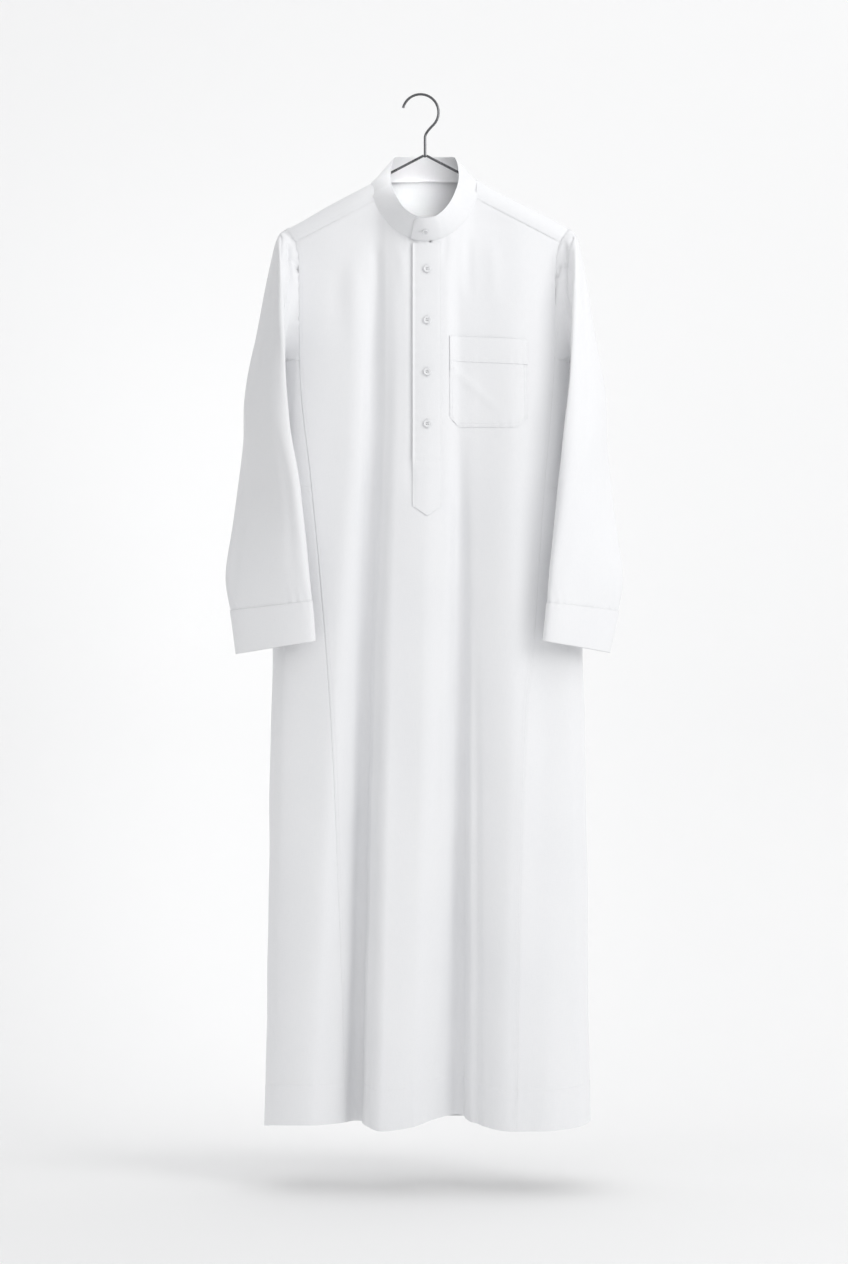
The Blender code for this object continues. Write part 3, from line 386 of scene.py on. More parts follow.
def unit(vectors):
    """Vectors brought to length one."""
    return vectors / np.maximum(np.linalg.norm(vectors, axis=-1, keepdims=True), 1e-12)


def ease(t):
    """Smooth step from 0 to 1."""
    t = np.clip(t, 0.0, 1.0)
    return t * t * (3 - 2 * t)


def crease_line(start, end, bow, places=9):
    """Points in millimetres from start to end, bowed sideways by bow."""
    start = np.array(start, float)
    end = np.array(end, float)
    t = np.linspace(0, 1, places)[:, None]
    across = np.array([end[1] - start[1], start[0] - end[0]]) / np.linalg.norm(end - start)
    return start + (end - start) * t - across * bow * 4 * t * (1 - t)


def body_creases(rows):
    """The crease table with each line laid on the body: (path, widths, height, lean, fades)."""
    creases = []
    for _, face, start, end, bow, wide, narrow, height, lean, rise, fall in rows:
        line = crease_line(start, end, bow) * MM
        place = ring_place(line[:, 0], line[:, 1], back=face == "back")
        path = body_ring(place, line[:, 1])
        creases.append((path, (wide * MM, narrow * MM), height * MM, lean, (rise, fall)))
    return creases


def crease_height(points, normals, creases):
    """How far the creases move points of cloth out along their normals."""
    flat = points.reshape(-1, 3)
    facing = normals.reshape(-1, 3)
    total = np.zeros(len(flat))
    for path, widths, height, lean, fades in creases:
        reach = 3.0 * max(widths)
        inside = (flat > path.min(0) - reach) & (flat < path.max(0) + reach)
        near = np.flatnonzero(np.all(inside, -1))
        if not len(near):
            continue
        here = flat[near]
        step = np.diff(path, axis=0)
        off = here[:, None] - path[:-1]
        t = np.clip((off * step).sum(-1) / (step * step).sum(-1), 0, 1)
        off = off - step * t[..., None]
        closest = (off ** 2).sum(-1).argmin(-1)
        row = np.arange(len(here))
        off = off[row, closest]
        along = (closest + t[row, closest]) / len(step)
        width = widths[0] + (widths[1] - widths[0]) * along
        sideways = unit(np.cross(step[closest], facing[near]))
        across = (off * sideways).sum(-1) / width
        distance = np.linalg.norm(off, axis=-1) / width
        bell = np.exp(-distance ** 2)
        strength = ease(along / max(fades[0], 1e-6)) * ease((1 - along) / max(fades[1], 1e-6))
        total[near] += height * strength * bell * (1 + lean * across)
    return total.reshape(points.shape[:-1])


RIPPLES = 10
RIPPLE_HEIGHT = 0.00028
RIPPLE_SEED = 11


def ripple_waves():
    """Long soft waves that keep the cloth from lying quite even."""
    chance = np.random.default_rng(RIPPLE_SEED)
    waves = []
    for _ in range(RIPPLES):
        length = chance.uniform(0.045, 0.13)
        heading = np.array([chance.normal(), chance.normal(), chance.normal() * 0.35])
        heading *= 2 * math.pi / length / np.linalg.norm(heading)
        waves.append((heading, chance.uniform(0, 2 * math.pi)))
    return waves


WAVES = ripple_waves()


def ripple(points):
    """Height of the soft unevenness at points of cloth."""
    total = sum(np.sin(points @ heading + phase) for heading, phase in WAVES)
    return total * RIPPLE_HEIGHT


def body_cloth(p, z, out=0.0):
    """The creased cloth of the body at ring places p and heights z, moved out by out."""
    p, z = np.broadcast_arrays(np.asarray(p, float), np.asarray(z, float))
    points = body_ring(p, z)
    normals = body_ring_normal(p, z)
    height = crease_height(points, normals, CREASES) + ripple(points) + out
    return points + normals * height[..., None]


def on_front(x, z, out=0.0):
    """Points of the creased front at x and z, moved out by out."""
    x, z = np.broadcast_arrays(np.asarray(x, float), np.asarray(z, float))
    return body_cloth(ring_place(x, z), z, out)


# ---------------------------------------------------------------- materials
class Nodes:
    """A material's node tree with short calls to add and join nodes."""

    def __init__(self, name):
        self.material = bpy.data.materials.new(name)
        self.material.use_nodes = True
        self.tree = self.material.node_tree
        self.shader = self.tree.nodes["Principled BSDF"]

    def add(self, kind, inputs=(), **settings):
        made = self.tree.nodes.new(kind)
        for key, value in settings.items():
            setattr(made, key, value)
        for key, value in dict(inputs).items():
            made.inputs[key].default_value = value
        return made

    def join(self, source, target):
        self.tree.links.new(source, target)

    def noise(self, vector, scale, detail=3.0, roughness=0.5):
        made = self.add("ShaderNodeTexNoise",
                        {"Scale": scale, "Detail": detail, "Roughness": roughness})
        self.join(vector, made.inputs["Vector"])
        return made.outputs["Fac"]

    def remap(self, value, low, high, to_low, to_high):
        made = self.add("ShaderNodeMapRange", {"From Min": low, "From Max": high,
                                               "To Min": to_low, "To Max": to_high})
        self.join(value, made.inputs["Value"])
        return made.outputs["Result"]

    def calculate(self, operation, a, b):
        made = self.add("ShaderNodeMath", operation=operation)
        for socket, value in zip(made.inputs, (a, b)):
            if isinstance(value, (int, float)):
                socket.default_value = value
            else:
                self.join(value, socket)
        return made.outputs[0]

    def tint(self, share, dark, pale):
        """Base colour between two colours, by a value from 0 to 1."""
        mix = self.add("ShaderNodeMix", data_type="RGBA", blend_type="MIX")
        mix.inputs["A"].default_value = (*dark, 1.0)
        mix.inputs["B"].default_value = (*pale, 1.0)
        self.join(share, mix.inputs["Factor"])
        self.join(mix.outputs["Result"], self.shader.inputs["Base Color"])

    def bump(self, height, strength, distance, below=None):
        made = self.add("ShaderNodeBump", {"Strength": strength, "Distance": distance})
        self.join(height, made.inputs["Height"])
        if below is not None:
            self.join(below, made.inputs["Normal"])
        return made.outputs["Normal"]


THREADS_PER_METRE = 2600.0    # yarns of the plain weave, either way


def shirting_material(name, stiff):
    """White cotton poplin: plain weave, slubs, faint creasing and a soft bloom.

    stiff is 0 for a single layer and 1 for two layers fused or sewn together.
    """
    nodes = Nodes(name)
    place = nodes.add("ShaderNodeTexCoord")
    cloth = nodes.add("ShaderNodeUVMap", uv_map="cloth").outputs["UV"]
    apart = nodes.add("ShaderNodeSeparateXYZ")
    nodes.join(cloth, apart.inputs["Vector"])
    turn = math.tau * THREADS_PER_METRE / 2
    across = nodes.calculate("SINE", nodes.calculate("MULTIPLY", apart.outputs["X"], turn), 0.0)
    along = nodes.calculate("SINE", nodes.calculate("MULTIPLY", apart.outputs["Y"], turn), 0.0)
    weave = nodes.calculate("MULTIPLY", across, along)
    stretch = nodes.add("ShaderNodeMapping", {"Scale": (1.0, 14.0, 1.0)})
    nodes.join(cloth, stretch.inputs["Vector"])
    weft = nodes.noise(stretch.outputs["Vector"], 90.0, 2.0)
    stretch_warp = nodes.add("ShaderNodeMapping", {"Scale": (14.0, 1.0, 1.0)})
    nodes.join(cloth, stretch_warp.inputs["Vector"])
    warp = nodes.noise(stretch_warp.outputs["Vector"], 70.0, 2.0)
    slub = nodes.calculate("ADD", weft, warp)
    rumple = nodes.noise(place.outputs["Object"], 30.0, 3.0, 0.45)
    cloud = nodes.noise(place.outputs["Object"], 6.0, 2.0)

    mottle = nodes.calculate("ADD", nodes.remap(slub, 0.7, 1.3, 0.0, 0.6),
                             nodes.remap(cloud, 0.3, 0.7, 0.0, 0.4))
    nodes.tint(mottle, (0.800, 0.806, 0.822), (0.838, 0.840, 0.850))
    nodes.join(nodes.remap(slub, 0.7, 1.3, 0.90, 0.80), nodes.shader.inputs["Roughness"])
    nodes.shader.inputs["Specular IOR Level"].default_value = 0.30
    nodes.shader.inputs["Sheen Weight"].default_value = 0.22
    nodes.shader.inputs["Sheen Roughness"].default_value = 0.55

    soft = nodes.bump(rumple, 0.55 - 0.25 * stiff, 0.0011)
    yarn = nodes.bump(slub, 0.35, 0.00012, soft)
    nodes.join(nodes.bump(weave, 0.45, 0.00006, yarn), nodes.shader.inputs["Normal"])
    return nodes.material


def thread_material():
    """White sewing thread with its twist."""
    nodes = Nodes("sewing_thread")
    place = nodes.add("ShaderNodeTexCoord")
    twist = nodes.add("ShaderNodeTexWave", {"Scale": 900.0, "Distortion": 2.0},
                      bands_direction="DIAGONAL")
    nodes.join(place.outputs["Object"], twist.inputs["Vector"])
    nodes.tint(twist.outputs["Fac"], (0.74, 0.745, 0.76), (0.84, 0.845, 0.86))
    nodes.join(nodes.remap(twist.outputs["Fac"], 0.0, 1.0, 0.50, 0.62),
               nodes.shader.inputs["Roughness"])
    nodes.shader.inputs["Sheen Weight"].default_value = 0.15
    nodes.join(nodes.bump(twist.outputs["Fac"], 0.3, 0.00008), nodes.shader.inputs["Normal"])
    return nodes.material


def button_material():
    """Milky moulded resin, slightly clouded, with a polished face."""
    nodes = Nodes("button_resin")
    place = nodes.add("ShaderNodeTexCoord")
    cloud = nodes.noise(place.outputs["Object"], 260.0, 4.0, 0.55)
    nodes.tint(cloud, (0.70, 0.705, 0.72), (0.80, 0.805, 0.815))
    nodes.join(nodes.remap(cloud, 0.3, 0.7, 0.26, 0.34), nodes.shader.inputs["Roughness"])
    nodes.shader.inputs["Coat Weight"].default_value = 0.35
    nodes.shader.inputs["Coat Roughness"].default_value = 0.12
    nodes.join(nodes.bump(cloud, 0.15, 0.0001), nodes.shader.inputs["Normal"])
    return nodes.material


def steel_material():
    """Drawn steel wire whose base colour is painted dark as a painted reflection of dark
    surroundings, with fine draw lines and a few duller patches.
    """
    nodes = Nodes("drawn_steel_painted_reflection")
    place = nodes.add("ShaderNodeTexCoord")
    dull = nodes.noise(place.outputs["Object"], 60.0, 3.0)
    lines = nodes.noise(place.outputs["Object"], 1400.0, 2.0)
    # painted reflection: the metal's base colour is set almost black so the wire looks dark as if it
    # mirrored a dark room; the noise only varies it a little
    nodes.tint(dull, (0.085, 0.087, 0.092), (0.16, 0.162, 0.168))
    nodes.shader.inputs["Metallic"].default_value = 1.0
    nodes.join(nodes.remap(dull, 0.3, 0.7, 0.22, 0.36), nodes.shader.inputs["Roughness"])
    nodes.join(nodes.bump(lines, 0.12, 0.00005), nodes.shader.inputs["Normal"])
    return nodes.material


def stage_material(name, colour):
    """Matt paint of the floor and wall round the robe, clear when seen from behind."""
    nodes = Nodes(name)
    place = nodes.add("ShaderNodeTexCoord")
    grain = nodes.noise(place.outputs["Object"], 3.0, 2.0)
    nodes.tint(grain, tuple(0.99 * c for c in colour), colour)
    nodes.shader.inputs["Roughness"].default_value = 0.9
    nodes.shader.inputs["Specular IOR Level"].default_value = 0.2
    side = nodes.add("ShaderNodeNewGeometry").outputs["Backfacing"]
    nodes.join(nodes.calculate("SUBTRACT", 1.0, side), nodes.shader.inputs["Alpha"])
    return nodes.material


MATERIALS = {
    "shirting": shirting_material("cotton_shirting", 0),
    "shirting_double": shirting_material("cotton_shirting_double", 1),
    "thread": thread_material(),
    "button": button_material(),
    "steel": steel_material(),
}


# ---------------------------------------------------------------- making pieces
def lengths_along(grid, axis):
    """Distance travelled along each row (axis 1) or column (axis 0) of a grid of points."""
    steps = np.linalg.norm(np.diff(grid, axis=axis), axis=-1)
    zero = np.zeros_like(np.take(steps, [0], axis=axis))
    return np.concatenate([zero, np.cumsum(steps, axis=axis)], axis=axis)


def cloth_mesh(name, grid, closed=False, keep=None):
    """Mesh through a grid of points, with a UV map in metres along the cloth."""
    rows, columns = grid.shape[:2]
    if closed:
        grid = np.concatenate([grid, grid[:, :1]], axis=1)
        columns += 1
    u = lengths_along(grid, 1)
    u -= u[:, columns // 2, None]
    v = -lengths_along(grid, 0)
    i, j = np.meshgrid(np.arange(rows - 1), np.arange(columns - 1), indexing="ij")
    i, j = i.ravel(), j.ravel()
    if keep is not None:
        kept = keep(i, j)
        i, j = i[kept], j[kept]
    corners = np.stack([i * columns + j, (i + 1) * columns + j,
                        (i + 1) * columns + j + 1, i * columns + j + 1], -1)
    used, faces = np.unique(corners, return_inverse=True)
    mesh = bpy.data.meshes.new(name)
    mesh.from_pydata(grid.reshape(-1, 3)[used].tolist(), [], faces.reshape(-1, 4).tolist())
    uv = np.stack([u.ravel(), v.ravel()], -1)[corners.ravel()]
    mesh.uv_layers.new(name="cloth").data.foreach_set("uv", uv.ravel().astype(np.float32))
    if closed:
        build = bmesh.new()
        build.from_mesh(mesh)
        seam = [vert for vert in build.verts if vert.is_boundary]
        bmesh.ops.remove_doubles(build, verts=seam, dist=0.000001)
        build.to_mesh(mesh)
        build.free()
    mesh.shade_smooth()
    return mesh


def add_piece(name, mesh, material, slot, *nodes):
    """A finished piece at the origin that stands for the given nodes."""
    piece = bpy.data.objects.new(name, mesh)
    mesh.materials.append(material)
    bpy.context.scene.collection.objects.link(piece)
    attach(piece, "root")
    if nodes:
        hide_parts(*nodes)
    return piece


def flat_area(grid, closed=False, keep=None):
    """Area of one layer of the cloth that runs through a grid."""
    if closed:
        grid = np.concatenate([grid, grid[:, :1]], axis=1)
    a = grid[1:, 1:] - grid[:-1, :-1]
    b = grid[1:, :-1] - grid[:-1, 1:]
    faces = np.linalg.norm(np.cross(a, b), axis=-1) / 2
    if keep is not None:
        i, j = np.indices(faces.shape)
        faces = np.where(keep(i, j), faces, 0.0)
    return float(faces.sum())


def cloth_piece(name, grid, wall, closed=False, keep=None):
    """Cloth with a real wall through a grid of points, moved onto the garment's centre line."""
    grid = grid + np.array([GARMENT_X, 0.0, 0.0])
    material = MATERIALS["shirting" if wall == CLOTH else "shirting_double"]
    mesh = cloth_mesh(name + "_cloth", grid, closed, keep)
    piece = add_piece(name + "_cloth", mesh, material, "shirting", name)
    wall_modifier = piece.modifiers.new("wall", "SOLIDIFY")
    wall_modifier.thickness = wall
    wall_modifier.offset = 0.0
    wall_modifier.use_even_offset = False
    flat_area(grid, closed, keep)
    return piece


EDGE = 0.0004                 # from a cloth's edge to the first line inside it


def spread(length, step, band, fine):
    """Shares from 0 to 1 along a length: `fine` apart inside the band at either end."""
    dense = np.concatenate([[0.0], np.arange(EDGE, band - fine / 2, fine)])
    count = max(2, int(round((length - 2 * band) / step)) + 1)
    middle = np.linspace(band, length - band, count)
    return np.concatenate([dense, middle, length - dense[::-1]]) / length


# ---------------------------------------------------------------- seams
SEAM_RISE = 0.00025           # rise of the upper cloth along a felled seam
SEAM_SINK = 0.00030           # sink of the cloth under it at the seam
UNDERLAY_SINK = 0.0012        # and more at its hidden edge
SEAM_BAND = 0.0080            # its width
SEAM_STEP = 0.0014            # over which the step falls away
STEP = 0.0030                 # between grid lines across a panel
LONG_STEP = 0.0058            # and down it
FINE = 0.0015                 # beside a seam
STITCH_GROOVE = 0.00022
SEAM_STITCH = 0.0060          # row of stitches beside a felled seam
EDGE_STITCH = 0.0020          # row of stitches along a finished edge


def seam_band(distance):
    """Rise of the cloth beside a felled seam, at a distance from its edge."""
    return SEAM_RISE * (1 - ease((distance - SEAM_BAND) / SEAM_STEP))


def seam_sink(distance):
    """Sink of a seam's lower cloth, at a distance from its hidden edge."""
    sink = SEAM_SINK * (1 - ease((distance - UNDERLAY) / SEAM_STEP))
    return -sink - UNDERLAY_SINK * np.clip(1 - distance / UNDERLAY, 0, 1)


def groove(distance, at):
    """Dip of the cloth under a row of stitches that runs `at` from the edge."""
    return -STITCH_GROOVE * np.exp(-((distance - at) / 0.0011) ** 2)


def pucker(along, distance, pitch, height, reach, phase=0.0):
    """Small cross wrinkles that a seam draws up, dying away from it."""
    wander = along + 0.45 * pitch * np.sin(along / (0.43 * pitch) / math.tau + phase)
    strength = 0.55 + 0.45 * np.sin(along / (0.9 * pitch) + 2.1 * phase)
    wrinkle = np.sin(math.tau * wander / pitch + phase)
    return height * strength * wrinkle * np.exp(-np.abs(distance) / reach)


# ---------------------------------------------------------------- body panels
def panel_places(seams, top, columns, rows, back=False):
    """Ring places and heights over a front or back panel, from seam to seam."""
    def place(z):
        left = ring_place(table_value(seams, 1, z), z, back)
        right = ring_place(table_value(seams, 2, z), z, back)
        return left + (right - left) * columns

    z_top = np.full(len(columns), top(0.0))
    for _ in range(8):
        z_top = top(body_ring(place(z_top), z_top)[:, 0])
    z_bottom = np.full(len(columns), HEM_Z)
    for _ in range(4):
        z_bottom = hem_height(place(z_bottom))
    z = z_top + (z_bottom - z_top) * rows[:, None]
    p = np.array([place(row) for row in z])
    return p, z


def hem_relief(above_hem, across):
    """The turned-up hem: its second layer, its row of stitches and the slack they draw up."""
    out = 0.0005 * (1 - ease((above_hem - HEM_TURN_UP) / SEAM_STEP))
    out = out + groove(above_hem, HEM_TURN_UP)
    out = out + pucker(across, above_hem - HEM_TURN_UP, 0.013, 0.00035, 0.012, 0.9)
    return out + pucker(across, above_hem, 0.021, 0.0005, 0.018, 2.6)


def panel_relief(p, z):
    """Seam bands down both edges and the turned-up hem of a body panel."""
    points = body_ring(p, z)
    across = lengths_along(points, 1)
    down = lengths_along(points, 0)
    left = across
    right = across[:, -1:] - across
    out = seam_band(left) + seam_band(right)
    out = out + groove(left, SEAM_STITCH) + groove(right, SEAM_STITCH)
    out = out + pucker(down, left, 0.017, 0.0003, 0.012, 0.4)
    out = out + pucker(down, right, 0.019, 0.0003, 0.012, 1.9)
    return out + hem_relief(down[-1] - down, across)


def front_top(x):
    """Upper edge of the front: under the yoke at the sides, behind the collar between them."""
    x = np.asarray(x, float)
    seam = yoke_seam_z(x) + UNDERLAY * 0.8
    beside_neck = np.abs(x - NECK_CENTRE) > YOKE_NECK[0]
    return np.where(beside_neck, seam, np.minimum(neckline_z(x), seam))


def back_top(x):
    """Upper edge of the back, which runs on under the yoke's straight seam."""
    return np.full_like(np.asarray(x, float), YOKE_BACK_Z + UNDERLAY)


# The left front sinks under the free edge of the placket.
PLACKET_EDGE = -PLACKET_WIDTH / 2
UNDERLAP_DIP = 0.0020
UNDERLAP_WIDTH = 0.0050
UNDERLAP_END_Z = -0.585


def underlap(x, z):
    """Dip of the left front beside the placket's open edge."""
    dip = np.exp(-((x - PLACKET_EDGE + 0.0005) / UNDERLAP_WIDTH) ** 2)
    return -UNDERLAP_DIP * dip * ease((z - UNDERLAP_END_Z) / 0.03)


def panel_rows(length):
    """Shares down a body panel: close at its top, at the hem's stitches and at its edge."""
    turn = length - HEM_TURN_UP
    upper = spread(turn, LONG_STEP, 0.006, FINE) * turn
    lower = turn + spread(HEM_TURN_UP, LONG_STEP, 0.003, FINE) * HEM_TURN_UP
    return np.concatenate([upper, lower[1:]]) / length


def make_front():
    """Front panel in one piece from the neckline and yoke seams to the hem."""
    columns = spread(0.330, STEP, SEAM_BAND + SEAM_STEP, FINE)
    p, z = panel_places(FRONT_SEAMS, front_top, columns, panel_rows(front_top(0.15) - HEM_Z))
    flat = body_ring(p, z)
    x = flat[..., 0]
    edge = lengths_along(flat, 0)
    out = panel_relief(p, z) + underlap(x, z)
    below_seam = pucker(x, edge, 0.011, 0.0006, 0.012, 0.2) * ease((edge - UNDERLAY) / 0.004)
    out = out + (seam_sink(edge) + below_seam) * (np.abs(x) > YOKE_NECK[0])
    grid = body_cloth(p, z, out)
    middle = int(np.argmin(np.abs(x[len(x) // 4])))

    def keep(i, j):
        return (j != middle) | (z[i, j] < SLIT_END_Z)

    cloth_piece("front", grid, CLOTH, keep=keep)
    return grid


def make_back():
    """Back panel in one piece under the back yoke."""
    columns = spread(0.350, STEP * 1.4, SEAM_BAND + SEAM_STEP, FINE)
    p, z = panel_places(BACK_SEAMS, back_top, columns, panel_rows(back_top(0) - HEM_Z), back=True)
    grid = body_cloth(p, z, panel_relief(p, z) + seam_sink(z[0] - z))
    cloth_piece("back", grid, CLOTH)
    return grid


def side_places(side, z_top, z_bottom, columns, rows, to_hem, underlay=UNDERLAY):
    """Ring places and heights round one side, from the front panel's seam to the back's."""
    column = 1 if side < 0 else 2

    def place(z):
        front = ring_place(table_value(FRONT_SEAMS, column, z) - side * underlay, z)
        back = ring_place(table_value(BACK_SEAMS, column, z) - side * underlay, z, back=True)
        if side < 0:
            return front + RING + (back - front - RING) * columns
        return front + (back - front) * columns

    low = np.full(len(columns), z_bottom)
    if to_hem:
        for _ in range(4):
            low = hem_height(place(low) % RING)
    z = z_top + (low - z_top) * rows[:, None]
    return np.array([place(row) for row in z]), z


def wrapped_cloth(p, z, out):
    """Creased cloth at ring places that may run past the ring's end."""
    return body_cloth(p % RING, z, out)


def make_sides():
    """Underarm gussets and the gores below them."""
    grids = {}
    for side, word in ((-1, "left"), (1, "right")):
        columns = spread(0.230, STEP * 1.25, 0.006, FINE)
        rows = spread(UNDERARM_Z - GUSSET_END_Z, LONG_STEP, 0.006, FINE)
        top = UNDERARM_Z + UNDERLAY
        p, z = side_places(side, top, GUSSET_END_Z - UNDERLAY, columns, rows, False)
        flat = body_ring(p % RING, z)
        down = lengths_along(flat, 0)
        along = lengths_along(flat, 1)
        low = down[-1] - down
        out = pucker(along, low, 0.012, 0.0004, 0.010, 0.7) * ease((low - UNDERLAY) / 0.004)
        out = out + seam_sink(low)
        out = out + seam_sink(np.minimum(along, along[:, -1:] - along))
        gusset = wrapped_cloth(p, z, out)
        length = GUSSET_END_Z - HEM_Z
        p, z = side_places(side, GUSSET_END_Z, HEM_Z, columns, panel_rows(length), True)
        flat = body_ring(p % RING, z)
        down = lengths_along(flat, 0)
        along = lengths_along(flat, 1)
        out = hem_relief(down[-1] - down, along)
        out = out + seam_sink(np.minimum(along, along[:, -1:] - along))
        out = out + seam_band(down) + pucker(along, down, 0.012, 0.0003, 0.010, 2.7)
        gore = wrapped_cloth(p, z, out)
        cloth_piece("gusset_" + word, gusset, CLOTH)
        cloth_piece("gore_" + word, gore, CLOTH)
        grids["gusset_" + word] = gusset
        grids["gore_" + word] = gore
    return grids


# ---------------------------------------------------------------- yoke
def yoke_lines(x_seam, x_ridge, on_shoulder, front_rows, back_rows):
    """One line of the yoke, from the front seam over the shoulder to the back seam."""
    points = []
    if on_shoulder:
        top = np.array([x_ridge, 0.0, float(shoulder_z(x_ridge))])
        seam_z = float(yoke_seam_z(x_seam))
        seam = body_ring(ring_place(x_seam, seam_z), seam_z)
        for t in front_rows * math.pi / 2:
            x = seam[0] + (top[0] - seam[0]) * math.sin(t)
            points.append((x, seam[1] * math.cos(t), seam_z + (top[2] - seam_z) * math.sin(t)))
        x_low = math.copysign(min(abs(x_ridge), abs(x_seam) + MM), x_ridge)
    else:
        angle = math.asin((x_ridge - NECK_CENTRE) / COLLAR_BASE_REACH)
        top = collar_rings(np.array([angle]))[0][0] + np.array([0.0, 0.0, NECK_UNDERLAY])
        points.extend([tuple(top)] * len(front_rows))
        x_low = x_ridge
    end_z = YOKE_BACK_Z
    for v in back_rows:
        fall = v ** 1.6
        z = top[2] + (end_z - top[2]) * fall
        x = top[0] + (x_low - top[0]) * fall
        back = body_ring(ring_place(x, z, back=True), z)[1]
        depth = min(1.0, (top[2] - z) / YOKE_ROUND)
        points.append((x, top[1] + (back - top[1]) * math.sqrt(1 - (1 - depth) ** 2), z))
    return points


def normals_of(grid):
    """Unit normals of a grid of points, down the rows crossed with along them."""
    down = np.gradient(grid, axis=0)
    along = np.gradient(grid, axis=1)
    return unit(np.cross(down, along))


def make_yoke():
    """Double yoke over both shoulders and across the back, open in front of the neck."""
    front_rows = spread(0.060, 0.004, 0.008, FINE)[:-1]
    back_rows = spread(0.130, 0.004, 0.004, FINE)
    shoulder = spread(0.130, 0.004, 0.008, FINE)[::-1]
    lines = []
    for side in (-1, 1):
        seam_in = NECK_CENTRE + side * (YOKE_NECK[0] - UNDERLAY)
        ridge_in = NECK_CENTRE + side * (SHOULDER_NECK[0] - 1.5 * UNDERLAY)
        for share in shoulder:
            x_seam = seam_in + (side * YOKE_TIP[0] - seam_in) * share
            x_ridge = ridge_in + (side * SHOULDER_TIP[0] - ridge_in) * share
            lines.append((x_ridge, yoke_lines(x_seam, x_ridge, True, front_rows, back_rows)))
    for x in np.linspace(NECK_CENTRE - NECK_REACH, NECK_CENTRE + NECK_REACH, 50):
        lines.append((x, yoke_lines(x, x, False, front_rows, back_rows)))
    lines.sort(key=lambda line: line[0])
    grid = np.array([line[1] for line in lines]).transpose(1, 0, 2)
    first, last = len(shoulder) - 1, len(lines) - len(shoulder)
    start = len(front_rows)

    def keep(i, j):
        over_neck = (j >= first) & (j < last)
        return (i >= start) | ~over_neck

    down = lengths_along(grid, 0)
    along = lengths_along(grid, 1)
    outward = -normals_of(grid)
    at_shoulder = (np.arange(len(lines)) <= first) | (np.arange(len(lines)) >= last)
    out = (seam_band(down) + groove(down, SEAM_STITCH)) * at_shoulder
    out = out + pucker(along, down, 0.012, 0.0004, 0.010, 0.3) * at_shoulder
    left = along
    right = along[:, -1:] - along
    out = out + pucker(down, left, 0.013, 0.0007, 0.014, 1.1)
    out = out + pucker(down, right, 0.014, 0.0007, 0.014, 2.2)
    out = out + seam_band(down[-1] - down) + ripple(grid)
    grid = grid + outward * out[..., None]
    cloth_piece("yoke", grid, CLOTH, keep=keep)
    return grid, start, first


# ---------------------------------------------------------------- collar
LAP_LIFT = 0.0006
COLLAR_LIFT = 0.0004               # share of its height that the foot stands off the neckline
COLLAR_BELLY = 0.0015
COLLAR_TAB_CORNER = 0.0090         # round corner of the lap's free end
COLLAR_DENTS = (
    # angle and half width in degrees, height in metres, lean
    (-128,  9, -0.0012,  0.5),
    (-100, 12,  0.0010,  0.2),
    (118,  10, -0.0011, -0.4),
    (92,   12,  0.0010,  0.0),
    (160,   8,  0.0008,  0.3),
    (-30,  14, -0.0008,  0.0),
    (25,   16, -0.0007,  0.2),
)


def collar_grid(angle, rises):
    """The collar's band at angles round the neck and shares of its height."""
    base, top = collar_rings(angle)
    up = top - base
    along = np.gradient(base, axis=0)
    outward = unit(np.cross(up, along))
    parted = np.clip((np.abs(angle) - LAP_START) / LAP_EASE, 0, 1)
    lap = np.sign(angle) * parted * (DOUBLE / 2 + LAP_LIFT)
    length = lengths_along(base[None], 1)[0]
    from_end = (length[-1] - length) / COLLAR_TAB_CORNER
    cut = COLLAR_TAB_CORNER * (1 - np.sqrt(np.clip(1 - (1 - np.clip(from_end, 0, 1)) ** 2, 0, 1)))
    height = np.linalg.norm(up, axis=-1)
    grid = []
    for t in rises:
        share = COLLAR_LIFT + t * (1 - COLLAR_LIFT)
        share = share * (1 - cut / height)
        belly = COLLAR_BELLY * math.sin(math.pi * t)
        grid.append(base + up * share[:, None] + outward * (lap + belly)[:, None])
    return np.array(grid)


def collar_creases(angle, rise):
    """Soft dents of the stiff collar at its corners, at angles and shares of its height."""
    degrees = np.degrees(angle)
    height = np.zeros(np.broadcast(angle, rise).shape)
    for at, width, tall, lean in COLLAR_DENTS:
        away = (degrees - at - 14 * lean * (rise - 0.5)) / width
        height = height + tall * np.exp(-away ** 2) * (0.35 + 0.65 * rise)
    return height


def make_collar():
    """Stand collar: one stiffened band whose right end laps over its left end."""
    angle = np.linspace(LAP_UNDER, LAP_OVER, 240)
    rises = spread(0.045, 0.0022, 0.0045, 0.0010)
    grid = collar_grid(angle, rises)
    down = lengths_along(grid, 0)
    along = lengths_along(grid, 1)
    outward = normals_of(grid[::-1])[::-1]
    outward = outward * np.sign((outward * (grid - grid.mean((0, 1)))).sum())
    out = groove(down, EDGE_STITCH) + groove(down[-1] - down, EDGE_STITCH)
    out = out + pucker(along, down, 0.010, 0.0003, 0.006, 0.8)
    out = out + pucker(along, down[-1] - down, 0.013, 0.0002, 0.006, 1.7)
    out = out + collar_creases(angle[None, :], rises[:, None])
    grid = grid + outward * out[..., None]
    cloth_piece("collar", grid[::-1], DOUBLE)
    return grid, outward


# ---------------------------------------------------------------- placket and pocket
def strip_lift(distance, lift, reach=0.004):
    """Lift of a strip's free edge off the cloth under it."""
    return lift * (1 - ease(distance / reach))


